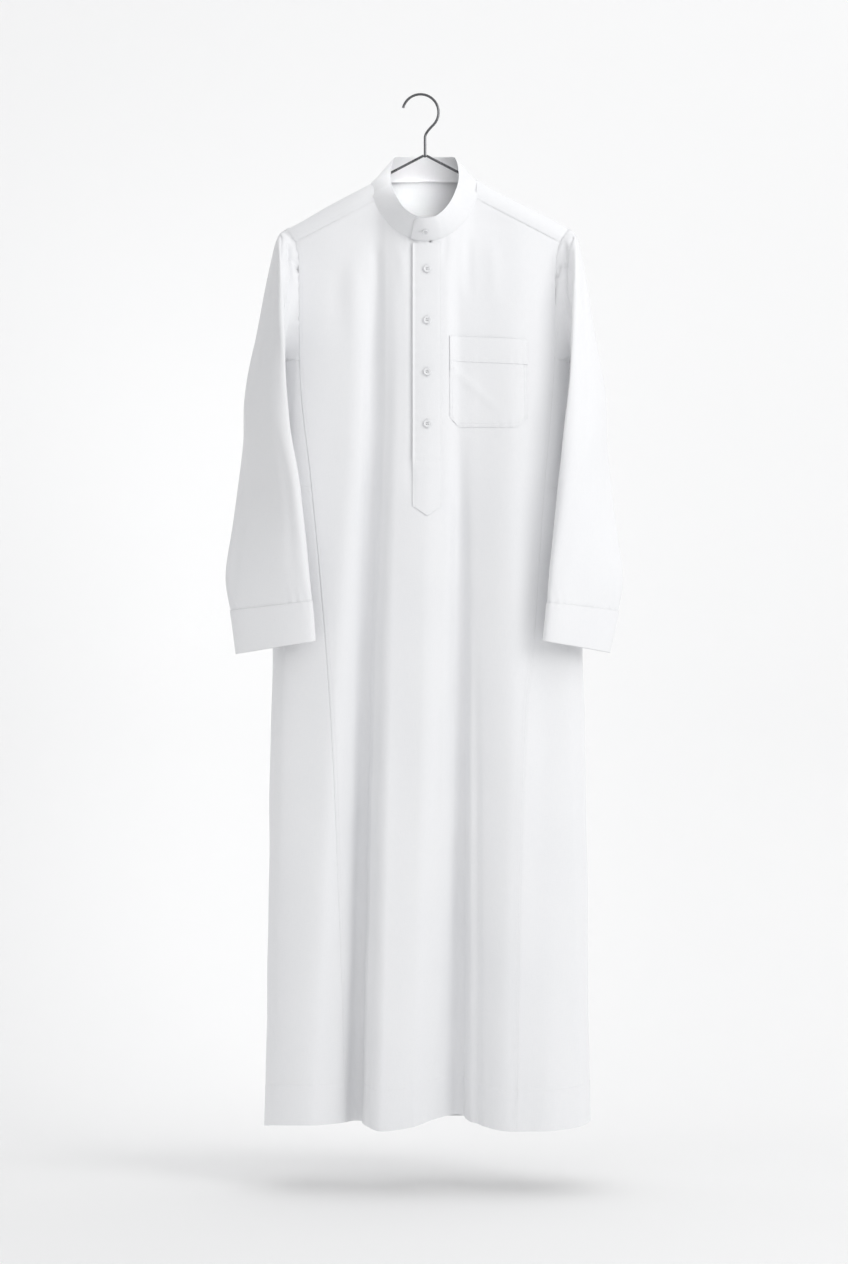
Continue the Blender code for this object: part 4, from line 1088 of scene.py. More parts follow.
def make_placket():
    """Placket strip with a pointed foot, free along its left edge down to the slit's end."""
    half = PLACKET_WIDTH / 2
    across = (spread(PLACKET_WIDTH, 0.0022, 0.004, 0.0008) - 0.5) * PLACKET_WIDTH
    length = PLACKET_TOP_Z - PLACKET_SHOULDER_Z
    heights = PLACKET_TOP_Z - spread(length, 0.0035, 0.004, 0.001) * length
    z = np.repeat(heights[:, None], len(across), 1)
    foot = PLACKET_SHOULDER_Z + (PLACKET_POINT_Z - PLACKET_SHOULDER_Z) * (1 - np.abs(across) / half)
    foot = np.minimum(foot, PLACKET_SHOULDER_Z - 0.0006)
    tail = [PLACKET_SHOULDER_Z + (foot - PLACKET_SHOULDER_Z) * t
            for t in (0.25, 0.5, 0.75, 0.9, 1.0)]
    z = np.concatenate([z, tail])
    x = np.repeat(across[None], len(z), 0)
    x[len(heights):] *= 0.999
    left = x + half
    right = half - x
    down = PLACKET_TOP_Z - z
    open_edge = ease((z - UNDERLAP_END_Z) / 0.02)
    out = CLOTH / 2 + LAYER_GAP + DOUBLE / 2
    out = out + groove(left, PLACKET_STITCH) + groove(right, PLACKET_STITCH)
    out = out + strip_lift(left, 0.0012) * open_edge
    out = out + pucker(down, right, 0.014, 0.0004, 0.006, 0.5) * 0.7
    out = out + pucker(down, left, 0.018, 0.0005, 0.007, 1.4) * open_edge
    out = out + placket_creases(x, z)
    grid = on_front(x, z, out)
    cloth_piece("placket", grid, DOUBLE)
    return grid


PLACKET_STITCH = 0.0030
PLACKET_TACKS = (-0.570, -0.585)   # heights of the rows across it, where its slit ends


def placket_creases(x, z):
    """The two bars tacked across the placket where its slit ends, and slack between buttons."""
    height = np.zeros(x.shape)
    for bar in PLACKET_TACKS:
        height -= 0.0004 * np.exp(-((z - bar) / 0.0012) ** 2)
        height += 0.0005 * np.exp(-((z - bar - 0.005) / 0.0035) ** 2)
    for number in range(BUTTON_COUNT):
        at = BUTTON_FIRST_Z - number * BUTTON_PITCH
        near = np.exp(-((z - at) / 0.014) ** 2 - (x / 0.012) ** 2)
        height -= 0.0004 * near
    return height


def make_button_stand():
    """Facing strip behind the slit, which the buttons are sewn to."""
    half = PLACKET_WIDTH / 2 - 0.004
    across = np.linspace(-half, half, 14)
    heights = np.linspace(PLACKET_TOP_Z - 0.004, SLIT_END_Z - 0.012, 90)
    x, z = np.meshgrid(across, heights)
    behind = CLOTH / 2 + LAYER_GAP + CLOTH / 2
    grid = on_front(x, z, underlap(x, z) - behind)
    cloth_piece("button_stand", grid, CLOTH)


def pocket_top(x):
    """Height of the pocket's sloping mouth at x."""
    return POCKET_TOP_Z + POCKET_TILT * (x - POCKET_LEFT)


def pocket_relief(x, z, depth_left, depth_right, depth_foot):
    """Edge stitches of the pocket and its soft diagonal crease."""
    edge = np.minimum(np.minimum(depth_left, depth_right), depth_foot)
    out = groove(edge, EDGE_STITCH) + groove(edge, SEAM_STITCH)
    slope = (x - 0.052) * 0.9 + (z + 0.440) * 1.0
    out = out + 0.0011 * np.exp(-(slope / 0.010) ** 2) * ease((0.125 - x) / 0.05)
    out = out + pucker(z, depth_left, 0.013, 0.0004, 0.008, 0.2)
    out = out + pucker(z, depth_right, 0.015, 0.0004, 0.008, 1.2)
    return out + pucker(x, depth_foot, 0.014, 0.0004, 0.008, 2.0)


def make_pocket():
    """Chest pocket with cut corners, and the deep band along its mouth."""
    width = POCKET_RIGHT - POCKET_LEFT
    across = POCKET_LEFT + spread(width, 0.0026, 0.0075, 0.0010) * width
    edge = np.minimum(across - POCKET_LEFT, POCKET_RIGHT - across)
    bottom = POCKET_BOTTOM_Z + np.clip(POCKET_CORNER - edge, 0, None)
    start = pocket_top(across) - POCKET_BAND + UNDERLAY
    length = POCKET_TOP_Z - POCKET_BAND + UNDERLAY - POCKET_BOTTOM_Z
    share = spread(length, 0.0028, 0.0075, 0.0010)
    z = start + (bottom - start) * share[:, None]
    x = np.repeat(across[None], len(z), 0)
    to_foot = np.where(edge < POCKET_CORNER, (z - bottom) * math.sqrt(0.5), z - bottom)
    relief = pocket_relief(x, z, x - POCKET_LEFT, POCKET_RIGHT - x, to_foot)
    pocket = on_front(x, z, CLOTH + LAYER_GAP + relief)
    cloth_piece("pocket", pocket, CLOTH)
    share = spread(POCKET_BAND, 0.0026, 0.0045, 0.0010)
    z = pocket_top(across) - POCKET_BAND * share[:, None]
    x = np.repeat(across[None], len(z), 0)
    depth = POCKET_BAND * share[:, None]
    out = groove(depth, EDGE_STITCH) + groove(POCKET_BAND - depth, EDGE_STITCH)
    out = out + groove(np.minimum(x - POCKET_LEFT, POCKET_RIGHT - x), EDGE_STITCH)
    out = out + pucker(x, POCKET_BAND - depth, 0.012, 0.0004, 0.007, 0.6)
    out = out + 0.0008 * np.exp(-((x - 0.098) / 0.03) ** 2) * (1 - depth / POCKET_BAND)
    band = on_front(x, z, CLOTH + LAYER_GAP * 1.5 + DOUBLE / 2 + out)
    cloth_piece("pocket_band", band, DOUBLE)
    return pocket, band


# ---------------------------------------------------------------- sleeves
# Creases of the sleeves. Each row: name, the side it is on (0 for both), then the station and
# the ring place where it starts and ends (0 outer face, 1 front fold, 2 inner face, 3 back
# fold), its half widths, height, lean, and the shares over which it rises and dies away.
SLEEVE_CREASES = (
    # name, side, from, to, w0, w1, height, lean, in, out
    ("head_crease_left",  -1, (0.0, 0.62), (2.4, 0.8),   3,  7, -3.0,  0.5, 0.05,   0.7),
    ("head_ridge_left",   -1, (0.2, 0.86), (4.0, 0.93),  5,  8,  1.5,  0.0,  0.2,   0.6),
    ("outer_dip_left",    -1, (1.4, 0.3),  (4.6, 0.45),  9, 14, -1.8,  0.2,  0.3,   0.5),
    ("outer_low_left",    -1, (4.0, 0.7),  (6.6, 0.45),  8, 11, -1.6,  0.3,  0.3,   0.4),
    ("head_crease_right",  1, (0.0, 0.7),  (2.2, 0.86),  3,  6, -3.0, -0.5, 0.05,   0.7),
    ("head_ridge_right",   1, (0.1, 0.45), (3.6, 0.55),  8, 12,  1.6,  0.0,  0.2,   0.6),
    ("outer_dip_right",    1, (2.2, 0.25), (5.0, 0.5),  10, 14, -1.8, -0.2,  0.3,   0.5),
    ("outer_low_right",    1, (4.2, 0.3),  (6.8, 0.62),  8, 12, -1.4,  0.3,  0.3,   0.4),
    ("armhole_slot",       0, (0.7, 0.4),  (1.9, 1.55),  4,  6, -6.5,  0.0, 0.12,  0.35),
    ("head_roll",          0, (2.0, 0.7),  (3.6, 1.1),   5,  6,  2.0,  0.0, 0.25,   0.5),
    ("head_nip_left",     -1, (1.4, 0.2),  (2.1, 0.72),  2,  3, -3.5,  0.0, 0.05,   0.5),
    ("head_nip_right",     1, (1.4, 0.22), (1.1, 0.95),  2,  3, -3.0,  0.0, 0.05,   0.5),
    ("back_dip",           0, (1.6, 3.4),  (4.8, 3.55),  9, 13, -1.8,  0.2,  0.3,   0.5),
    ("back_low",           0, (4.2, 3.75), (6.7, 3.45),  8, 11, -1.5, -0.2,  0.3,   0.4),
    ("inner_dip",          0, (3.0, 2.4),  (6.0, 2.25),  8, 11, -1.4,  0.0,  0.3,   0.4),
)


def armhole_loop(side, quarter):
    """The armhole's edge, from the shoulder down the front, under the arm and up the back.

    It has four quarters of the same number of points: to mid front, to the middle of the
    underarm, to mid back and to the shoulder again.
    """
    column = 1 if side < 0 else 2
    rows = np.linspace(0, 1, 9)
    over = np.array(yoke_lines(side * YOKE_TIP[0], side * SHOULDER_TIP[0], True, rows[:-1], rows))
    shoulder = len(rows) - 1
    z = np.linspace(YOKE_TIP[1], UNDERARM_Z, 40)
    front = body_ring(ring_place(table_value(FRONT_SEAMS, column, z), z), z)
    z = np.linspace(YOKE_BACK_Z, UNDERARM_Z, 40)
    back = body_ring(ring_place(table_value(BACK_SEAMS, column, z), z, back=True), z)
    p, z = side_places(side, UNDERARM_Z, GUSSET_END_Z, np.linspace(0, 1, 25), np.zeros(1),
                       False, underlay=0.0)
    under = body_ring(p % RING, z)[0]
    pieces = [over[shoulder::-1], front, under, back[::-1], over[:shoulder - 1:-1]]
    loop = np.concatenate(pieces)
    starts = np.cumsum([0] + [len(piece) for piece in pieces])
    marks = [0, starts[1] + len(front) // 2, starts[2] + len(under) // 2,
             starts[3] + len(back) // 2, len(loop) - 1]
    length = lengths_along(loop[None], 1)[0]
    at = np.concatenate([np.linspace(length[a], length[b], quarter, endpoint=False)
                         for a, b in zip(marks[:-1], marks[1:])])
    return np.stack([np.interp(at, length, loop[:, k]) for k in range(3)], -1)


def tube_ring(keys, quarter):
    """Closed ring through a sleeve's front fold, outer face, back fold and inner face."""
    front, outer, behind, inner = (np.array(key, float) * MM for key in keys)
    centre = (front + outer + behind + inner) / 4
    corners = (outer, front, inner, behind, outer)
    angle = np.linspace(0, math.pi / 2, quarter, endpoint=False)[:, None]
    near = np.cos(angle) ** RING_BOXINESS
    far = np.sin(angle) ** RING_BOXINESS
    parts = [centre + (a - centre) * near + (b - centre) * far
             for a, b in zip(corners[:-1], corners[1:])]
    return np.concatenate(parts)


def sleeve_surface(side, places):
    """Rings of a sleeve at station places: 0 is the armhole and CUFF_END the cuff's edge."""
    table = SLEEVE_LEFT if side < 0 else SLEEVE_RIGHT
    rings = [armhole_loop(side, RING_QUARTER)]
    rings.extend(tube_ring(row[1:], RING_QUARTER) for row in table)
    rings[0] = rings[0] - unit(rings[1] - rings[0]) * UNDERLAY / 2
    stations = np.moveaxis(np.array(rings), 0, -1)
    grid = np.array([smooth(np.arange(len(rings)), stations, np.full(stations.shape[:-1], place))
                     for place in places])
    return grid if side < 0 else grid[:, ::-1]


def closed_normals(grid):
    """Outward unit normals of rings of points."""
    down = np.gradient(grid, axis=0)
    along = np.roll(grid, -1, axis=1) - np.roll(grid, 1, axis=1)
    normals = unit(np.cross(down, along))
    away = grid - grid.mean(axis=1, keepdims=True)
    return normals * np.sign((normals * away).sum())


def sleeve_creases(side):
    """The crease table with each line laid on one sleeve."""
    creases = []
    for _, on, start, end, wide, narrow, height, lean, rise, fall in SLEEVE_CREASES:
        if on not in (0, side):
            continue
        share = np.linspace(0, 1, 9)
        station = start[0] + (end[0] - start[0]) * share
        around = start[1] + (end[1] - start[1]) * share
        rings = sleeve_surface(side, station)
        index = np.round(around * RING_QUARTER).astype(int) % (4 * RING_QUARTER)
        if side > 0:
            index = 4 * RING_QUARTER - 1 - index
        path = rings[np.arange(len(share)), index]
        creases.append((path, (wide * MM, narrow * MM), height * MM, lean, (rise, fall)))
    return creases


def creased(grid, creases, out):
    """Rings of a sleeve with creases, unevenness and seam relief."""
    normals = closed_normals(grid)
    height = crease_height(grid, normals, creases) + ripple(grid) + out
    return grid + normals * height[..., None]


CUFF_RISE = 0.0007            # the cuff's two layers stand this far over the sleeve's end


def make_sleeves():
    """A tapering sleeve each side and the deep straight cuff sewn to it."""
    grids = {}
    places = np.concatenate([np.linspace(0, 0.35, 9)[:-1], np.linspace(0.35, 3.0, 46)[:-1],
                             np.linspace(3.0, 6.85, 84)[:-1], np.linspace(6.85, 7.06, 9)])
    seam, edge = WRIST + 0.14, CUFF_END - 0.1
    cuff_places = np.concatenate([np.linspace(WRIST, seam, 7)[:-1],
                                  np.linspace(seam, edge, 16)[:-1],
                                  np.linspace(edge, CUFF_END, 5)])
    for side, word in ((-1, "left"), (1, "right")):
        creases = sleeve_creases(side)
        grid = sleeve_surface(side, places)
        around = lengths_along(grid, 1)
        down = lengths_along(grid, 0)
        out = pucker(around, down, 0.014, 0.0009, 0.016, 0.7)
        out = out + pucker(around, down[-1] - down, 0.011, 0.0009, 0.014, 1.6)
        out = out - 0.0004 * ease((places[:, None] - 6.90) / 0.10)
        sleeve = creased(grid, creases, out)
        cloth_piece("sleeve_" + word, sleeve, CLOTH, closed=True)
        grid = sleeve_surface(side, cuff_places)
        around = lengths_along(grid, 1)
        down = lengths_along(grid, 0)
        out = CUFF_RISE + groove(down, EDGE_STITCH) + groove(down[-1] - down, EDGE_STITCH)
        out = out + pucker(around, down, 0.012, 0.0004, 0.010, 0.4)
        cuff = creased(grid, creases, out)
        cloth_piece("cuff_" + word, cuff, DOUBLE, closed=True)
        grids["sleeve_" + word] = sleeve
        grids["cuff_" + word] = cuff
    return grids


# ---------------------------------------------------------------- buttons and stitching
BUTTON_PROFILE = (
    # share of the radius, share of the height
    (0.000, 0.78),
    (0.500, 0.78),
    (0.640, 0.84),
    (0.740, 0.98),
    (0.840, 1.00),
    (0.930, 0.94),
    (0.985, 0.78),
    (1.000, 0.58),
    (0.970, 0.38),
    (0.860, 0.10),
    (0.700, 0.00),
    (0.000, 0.00),
)
BUTTON_TURNS = (0.12, -0.2, 0.3, 0.05)     # how far each button is turned about its middle
COLLAR_BUTTON_TURN = 0.1
COLLAR_BUTTON_SHARE = 0.82                 # of a placket button's radius
HOLE_RADIUS = 0.00085
HOLE_REACH = 0.00165          # from the button's middle to a hole
THREAD_RADIUS = 0.00028
STITCH_PITCH = 0.0030
STITCH_LENGTH = 0.0024
STITCH_RADIUS = 0.00024
STITCH_SEED = 5
STITCH_LIFT = 0.00030         # middle of the thread over the middle of the cloth
BUTTONHOLE_PITCH = 0.0007
BUTTONHOLE_WIDTH = 0.0013


def evaluated_mesh(thing):
    """Plain mesh of an object with its modifiers worked out."""
    graph = bpy.context.evaluated_depsgraph_get()
    return bpy.data.meshes.new_from_object(thing.evaluated_get(graph), depsgraph=graph)


def turned_button(radius):
    """Shirt button with a soft rim, a shallow dish and four holes, standing on z = 0."""
    build = bmesh.new()
    verts = [build.verts.new((r * radius, 0.0, h * BUTTON_HEIGHT)) for r, h in BUTTON_PROFILE]
    edges = [build.edges.new(pair) for pair in zip(verts[:-1], verts[1:])]
    bmesh.ops.spin(build, geom=verts + edges, axis=(0, 0, 1), cent=(0, 0, 0), dvec=(0, 0, 0),
                   angle=math.tau, steps=40, use_merge=True)
    bmesh.ops.remove_doubles(build, verts=build.verts, dist=0.00001)
    bmesh.ops.recalc_face_normals(build, faces=build.faces)
    mesh = bpy.data.meshes.new("button_blank")
    build.to_mesh(mesh)
    build.free()
    blank = bpy.data.objects.new("button_blank", mesh)
    drill = bmesh.new()
    for quarter in range(4):
        angle = math.pi / 4 + quarter * math.pi / 2
        made = bmesh.ops.create_cone(drill, cap_ends=True, segments=14, radius1=HOLE_RADIUS,
                                     radius2=HOLE_RADIUS, depth=BUTTON_HEIGHT * 3)
        bmesh.ops.translate(drill, verts=made["verts"],
                            vec=(HOLE_REACH * math.cos(angle), HOLE_REACH * math.sin(angle), 0))
    holes_mesh = bpy.data.meshes.new("button_drill")
    drill.to_mesh(holes_mesh)
    drill.free()
    holes = bpy.data.objects.new("button_drill", holes_mesh)
    for thing in (blank, holes):
        bpy.context.scene.collection.objects.link(thing)
    cut = blank.modifiers.new("holes", "BOOLEAN")
    cut.operation = "DIFFERENCE"
    cut.object = holes
    cut.solver = "EXACT"
    finished = evaluated_mesh(blank)
    for thing in (blank, holes):
        bpy.data.objects.remove(thing)
    finished.shade_smooth()
    finished.set_sharp_from_angle(angle=math.radians(40))
    return finished


def thread_mesh(name, paths, radius):
    """Round threads along lists of points, as one plain mesh."""
    curve = bpy.data.curves.new(name, "CURVE")
    curve.dimensions = "3D"
    curve.bevel_depth = radius
    curve.bevel_resolution = 1
    curve.use_fill_caps = True
    for path in paths:
        line = curve.splines.new("POLY")
        line.points.add(len(path) - 1)
        for point, place in zip(line.points, path):
            point.co = (*place, 1.0)
    thing = bpy.data.objects.new(name, curve)
    bpy.context.scene.collection.objects.link(thing)
    mesh = evaluated_mesh(thing)
    bpy.data.objects.remove(thing)
    mesh.shade_smooth()
    return mesh


def seated(mesh, seat, outwards, turn=0.0):
    """A copy of a mesh that stands on z = 0, moved to a seat and faced outwards."""
    copy = mesh.copy()
    facing = outwards.to_track_quat("Z", "Y").to_matrix().to_4x4()
    spin = Matrix.Rotation(turn, 4, "Z")
    copy.transform(Matrix.Translation(seat) @ facing @ spin)
    return copy


def button_thread_paths():
    """Two parallel bars of thread over the button's four holes."""
    paths = []
    level = BUTTON_HEIGHT * 0.80
    for x in (-1, 1):
        for strand in (-0.35, 0.35):
            across = HOLE_REACH * math.sqrt(0.5) * x + strand * THREAD_RADIUS * 2.2
            reach = HOLE_REACH * math.sqrt(0.5)
            paths.append([(across, -reach, level - 0.0009), (across, -reach * 0.8, level + 0.0002),
                          (across, 0.0, level + 0.0004), (across, reach * 0.8, level + 0.0002),
                          (across, reach, level - 0.0009)])
    return paths


def make_button(name, seat, outwards, turn, radius=BUTTON_RADIUS):
    """One button sewn on with thread."""
    add_piece(name + "_resin", seated(turned_button(radius), seat, outwards, turn),
              MATERIALS["button"], "button", name)
    thread = seated(thread_mesh(name + "_thread", button_thread_paths(), THREAD_RADIUS),
                    seat, outwards, turn)
    add_piece(name + "_thread", thread, MATERIALS["thread"], "shirting")


def make_buttons(collar, collar_outward):
    """Four buttons down the placket and the small one on the collar's lap."""
    lift = CLOTH / 2 + LAYER_GAP + DOUBLE + GAP
    shift = Vector((GARMENT_X, 0.0, 0.0))
    for number in range(BUTTON_COUNT):
        z = np.array(BUTTON_FIRST_Z - number * BUTTON_PITCH)
        seat = Vector(on_front(np.array(0.0), z, lift))
        beyond = Vector(on_front(np.array(0.0), z, lift + MM))
        make_button(f"button_{number + 1}", seat + shift, beyond - seat, BUTTON_TURNS[number])
    low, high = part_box("collar_button")
    middle = (low + high) / 2
    away = np.linalg.norm(collar + np.array([GARMENT_X, 0, 0]) - np.array(middle), axis=-1)
    row, column = np.unravel_index(away.argmin(), away.shape)
    outwards = Vector(collar_outward[row, column])
    seat = Vector(collar[row, column]) + shift + outwards * (DOUBLE / 2 + GAP)
    make_button("collar_button", seat, outwards, COLLAR_BUTTON_TURN,
                BUTTON_RADIUS * COLLAR_BUTTON_SHARE)
    return seat, outwards


def stitch_tree():
    """Geometry Nodes tree that lays stitches end to end along the edges of a mesh."""
    tree = bpy.data.node_groups.new("rows_of_stitches", "GeometryNodeTree")
    tree.interface.new_socket("Lines", in_out="INPUT", socket_type="NodeSocketGeometry")
    for name, value in (("Pitch", STITCH_PITCH), ("Stitch length", STITCH_LENGTH),
                        ("Thread radius", STITCH_RADIUS)):
        socket = tree.interface.new_socket(name, in_out="INPUT", socket_type="NodeSocketFloat")
        socket.default_value = value
    seed = tree.interface.new_socket("Seed", in_out="INPUT", socket_type="NodeSocketInt")
    seed.default_value = STITCH_SEED
    tree.interface.new_socket("Thread", in_out="INPUT", socket_type="NodeSocketMaterial")
    tree.interface.new_socket("Stitches", in_out="OUTPUT", socket_type="NodeSocketGeometry")

    def node(kind, **settings):
        made = tree.nodes.new(kind)
        for key, value in settings.items():
            setattr(made, key, value)
        return made

    def join(source, target):
        tree.links.new(source, target)

    given = node("NodeGroupInput")
    to_curve = node("GeometryNodeMeshToCurve")
    resample = node("GeometryNodeResampleCurve", mode="LENGTH")
    tangent = node("GeometryNodeInputTangent")
    turn = node("FunctionNodeAlignRotationToVector", axis="X")
    stitch = node("GeometryNodeMeshUVSphere")
    stitch.inputs["Segments"].default_value = 6
    stitch.inputs["Rings"].default_value = 4
    stitch.inputs["Radius"].default_value = 1.0
    half = node("ShaderNodeMath", operation="MULTIPLY")
    half.inputs[1].default_value = 0.5
    chance = node("FunctionNodeRandomValue", data_type="FLOAT")
    chance.inputs["Min"].default_value = 0.86
    chance.inputs["Max"].default_value = 1.06
    uneven = node("ShaderNodeMath", operation="MULTIPLY")
    size = node("ShaderNodeCombineXYZ")
    lay = node("GeometryNodeInstanceOnPoints")
    real = node("GeometryNodeRealizeInstances")
    round_off = node("GeometryNodeSetShadeSmooth")
    dye = node("GeometryNodeSetMaterial")
    result = node("NodeGroupOutput")

    join(given.outputs["Lines"], to_curve.inputs["Mesh"])
    join(to_curve.outputs["Curve"], resample.inputs["Curve"])
    join(given.outputs["Pitch"], resample.inputs["Length"])
    join(tangent.outputs["Tangent"], turn.inputs["Vector"])
    join(given.outputs["Stitch length"], half.inputs[0])
    join(given.outputs["Seed"], chance.inputs["Seed"])
    join(half.outputs[0], uneven.inputs[0])
    join(chance.outputs[1], uneven.inputs[1])
    join(uneven.outputs[0], size.inputs["X"])
    join(given.outputs["Thread radius"], size.inputs["Y"])
    join(given.outputs["Thread radius"], size.inputs["Z"])
    join(resample.outputs["Curve"], lay.inputs["Points"])
    join(stitch.outputs["Mesh"], lay.inputs["Instance"])
    join(turn.outputs["Rotation"], lay.inputs["Rotation"])
    join(size.outputs["Vector"], lay.inputs["Scale"])
    join(lay.outputs["Instances"], real.inputs["Geometry"])
    join(real.outputs["Geometry"], round_off.inputs["Geometry"])
    join(round_off.outputs["Geometry"], dye.inputs["Geometry"])
    join(given.outputs["Thread"], dye.inputs["Material"])
    join(dye.outputs["Geometry"], result.inputs["Stitches"])
    return tree


def stitch_lines(name, lines, pitch=STITCH_PITCH, length=STITCH_LENGTH, radius=STITCH_RADIUS):
    """Rows of stitches along lines of points, laid by the tree and made one plain mesh."""
    mesh = bpy.data.meshes.new(name)
    points = np.concatenate(lines) + np.array([GARMENT_X, 0.0, 0.0])
    edges = []
    start = 0
    for line in lines:
        edges.extend((start + k, start + k + 1) for k in range(len(line) - 1))
        start += len(line)
    mesh.from_pydata(points.tolist(), edges, [])
    rows = bpy.data.objects.new(name, mesh)
    bpy.context.scene.collection.objects.link(rows)
    lay = rows.modifiers.new("stitches", "NODES")
    lay.node_group = STITCHES
    for socket in STITCHES.interface.items_tree:
        if socket.in_out == "INPUT":
            value = {"Pitch": pitch, "Stitch length": length, "Thread radius": radius,
                     "Seed": STITCH_SEED, "Thread": MATERIALS["thread"]}.get(socket.name)
            if value is not None:
                lay[socket.identifier] = value
    finished = evaluated_mesh(rows)
    bpy.data.objects.remove(rows)
    piece = bpy.data.objects.new(name, finished)
    bpy.context.scene.collection.objects.link(piece)
    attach(piece, "root")
    return piece


def row_inset(grid, distance, from_end=False, lift=0.0, columns=None, closed=False):
    """Line across a grid at a distance below its first row (or above its last one)."""
    normals = closed_normals(grid) if closed else normals_of(grid)
    down = lengths_along(grid, 0)
    if from_end:
        down = down[-1] - down
        grid, down, normals = grid[::-1], down[::-1], normals[::-1]
    wanted = range(grid.shape[1]) if columns is None else columns
    line = []
    for j in wanted:
        k = int(np.clip(np.searchsorted(down[:, j], distance), 1, len(down) - 1))
        t = (distance - down[k - 1, j]) / max(down[k, j] - down[k - 1, j], 1e-9)
        point = grid[k - 1, j] + (grid[k, j] - grid[k - 1, j]) * np.clip(t, 0, 1)
        line.append(point + normals[k, j] * lift)
    return np.array(line)


def column_inset(grid, distance, from_end=False, lift=0.0, rows=None):
    """Line down a grid at a distance from its first column (or its last one)."""
    turned = grid.transpose(1, 0, 2)
    return row_inset(turned, distance, from_end, -lift, rows)


def facing(grid, way, closed=False):
    """Lift along a grid's normals that takes a thread outwards, where `way` is out."""
    normals = closed_normals(grid) if closed else normals_of(grid)
    middle = normals[normals.shape[0] // 2, normals.shape[1] // 2]
    return STITCH_LIFT * float(np.sign(np.dot(middle, way)))


FORWARDS = (0.0, -1.0, 0.0)
BACKWARDS = (0.0, 1.0, 0.0)


def body_stitches():
    """Felled side seams, the hem's row and the gores' cross seams."""
    for name, grid, way in (("front", front, FORWARDS), ("back", back, BACKWARDS)):
        lift = facing(grid, way)
        top = 3
        rows = range(top, grid.shape[0] - 1)
        lines = [column_inset(grid, SEAM_STITCH, end, lift, rows) for end in (False, True)]
        lines += [column_inset(grid, EDGE_STITCH, end, lift, rows) for end in (False, True)]
        stitch_lines(name + "_seam_stitches", lines)
        hem = row_inset(grid, HEM_TURN_UP, True, lift, range(1, grid.shape[1] - 1))
        stitch_lines(name + "_hem_stitches", [hem])
    for word, side in (("left", -1.0), ("right", 1.0)):
        grid = sides["gore_" + word]
        lift = facing(grid, (side, 0.0, 0.0))
        inside = range(4, grid.shape[1] - 4)
        hem = row_inset(grid, HEM_TURN_UP, True, lift, inside)
        cross = row_inset(grid, SEAM_STITCH, False, lift, inside)
        stitch_lines("gore_" + word + "_stitches", [hem, cross])


def yoke_stitches():
    """Two rows along each front seam of the yoke and one along its back seam."""
    count = yoke.shape[1]
    lift = facing(yoke[yoke_start + 2:], BACKWARDS)
    left = range(2, yoke_shoulder)
    right = range(count - yoke_shoulder, count - 2)
    lines = [row_inset(yoke, distance, False, lift, part)
             for part in (left, right) for distance in (EDGE_STITCH, SEAM_STITCH)]
    lines.append(row_inset(yoke, SEAM_STITCH, True, lift, range(2, count - 2)))
    stitch_lines("yoke_stitches", lines)


def collar_stitches():
    """A row round the collar's top and foot, and down the free end of its lap."""
    lift = facing(collar[:, :collar.shape[1] // 4], (-1.0, -1.0, 0.0))
    last = collar.shape[1]
    lines = [row_inset(collar, EDGE_STITCH, False, lift, range(2, last - 2)),
             row_inset(collar, EDGE_STITCH, True, lift, range(2, last - 2)),
             column_inset(collar, EDGE_STITCH, True, lift, range(1, collar.shape[0] - 1))]
    stitch_lines("collar_stitches", lines)


def front_trim_stitches():
    """Rows round the placket, its foot and tacks, and round the pocket and its band."""
    lift = facing(placket, FORWARDS)
    rows = range(1, placket.shape[0] - 2)
    inner = range(3, placket.shape[1] - 3)
    lines = [column_inset(placket, PLACKET_STITCH, end, lift, rows) for end in (False, True)]
    lines.append(row_inset(placket, PLACKET_STITCH, True, lift, inner))
    for at in PLACKET_TACKS:
        lines.append(row_inset(placket, PLACKET_TOP_Z - at, False, lift, inner))
    stitch_lines("placket_stitches", lines)
    lift = facing(pocket, FORWARDS)
    rows = range(1, pocket.shape[0] - 1)
    inner = range(2, pocket.shape[1] - 2)
    lines = []
    for distance in (EDGE_STITCH, SEAM_STITCH):
        lines += [column_inset(pocket, distance, end, lift, rows) for end in (False, True)]
        lines.append(row_inset(pocket, distance, True, lift, inner))
    stitch_lines("pocket_stitches", lines)
    lift = facing(pocket_band, FORWARDS)
    inner = range(2, pocket_band.shape[1] - 2)
    rows = range(1, pocket_band.shape[0] - 1)
    lines = [row_inset(pocket_band, EDGE_STITCH, True, lift, inner)]
    lines += [column_inset(pocket_band, EDGE_STITCH, end, lift, rows) for end in (False, True)]
    stitch_lines("pocket_band_stitches", lines)


def sleeve_stitches():
    """Rows round the armholes, the cuffs' seams and the cuffs' edges."""
    for word in ("left", "right"):
        grid = sleeves["sleeve_" + word]
        lines = [row_inset(grid, SEAM_STITCH, False, STITCH_LIFT, None, True)]
        stitch_lines("armhole_" + word + "_stitches", [closed_line(line) for line in lines])
        grid = sleeves["cuff_" + word]
        lines = [row_inset(grid, EDGE_STITCH, False, STITCH_LIFT, None, True),
                 row_inset(grid, SEAM_STITCH, True, STITCH_LIFT, None, True)]
        stitch_lines("cuff_" + word + "_stitches", [closed_line(line) for line in lines])


def closed_line(line):
    """A ring of points with its first one again at the end."""
    return np.concatenate([line, line[:1]])


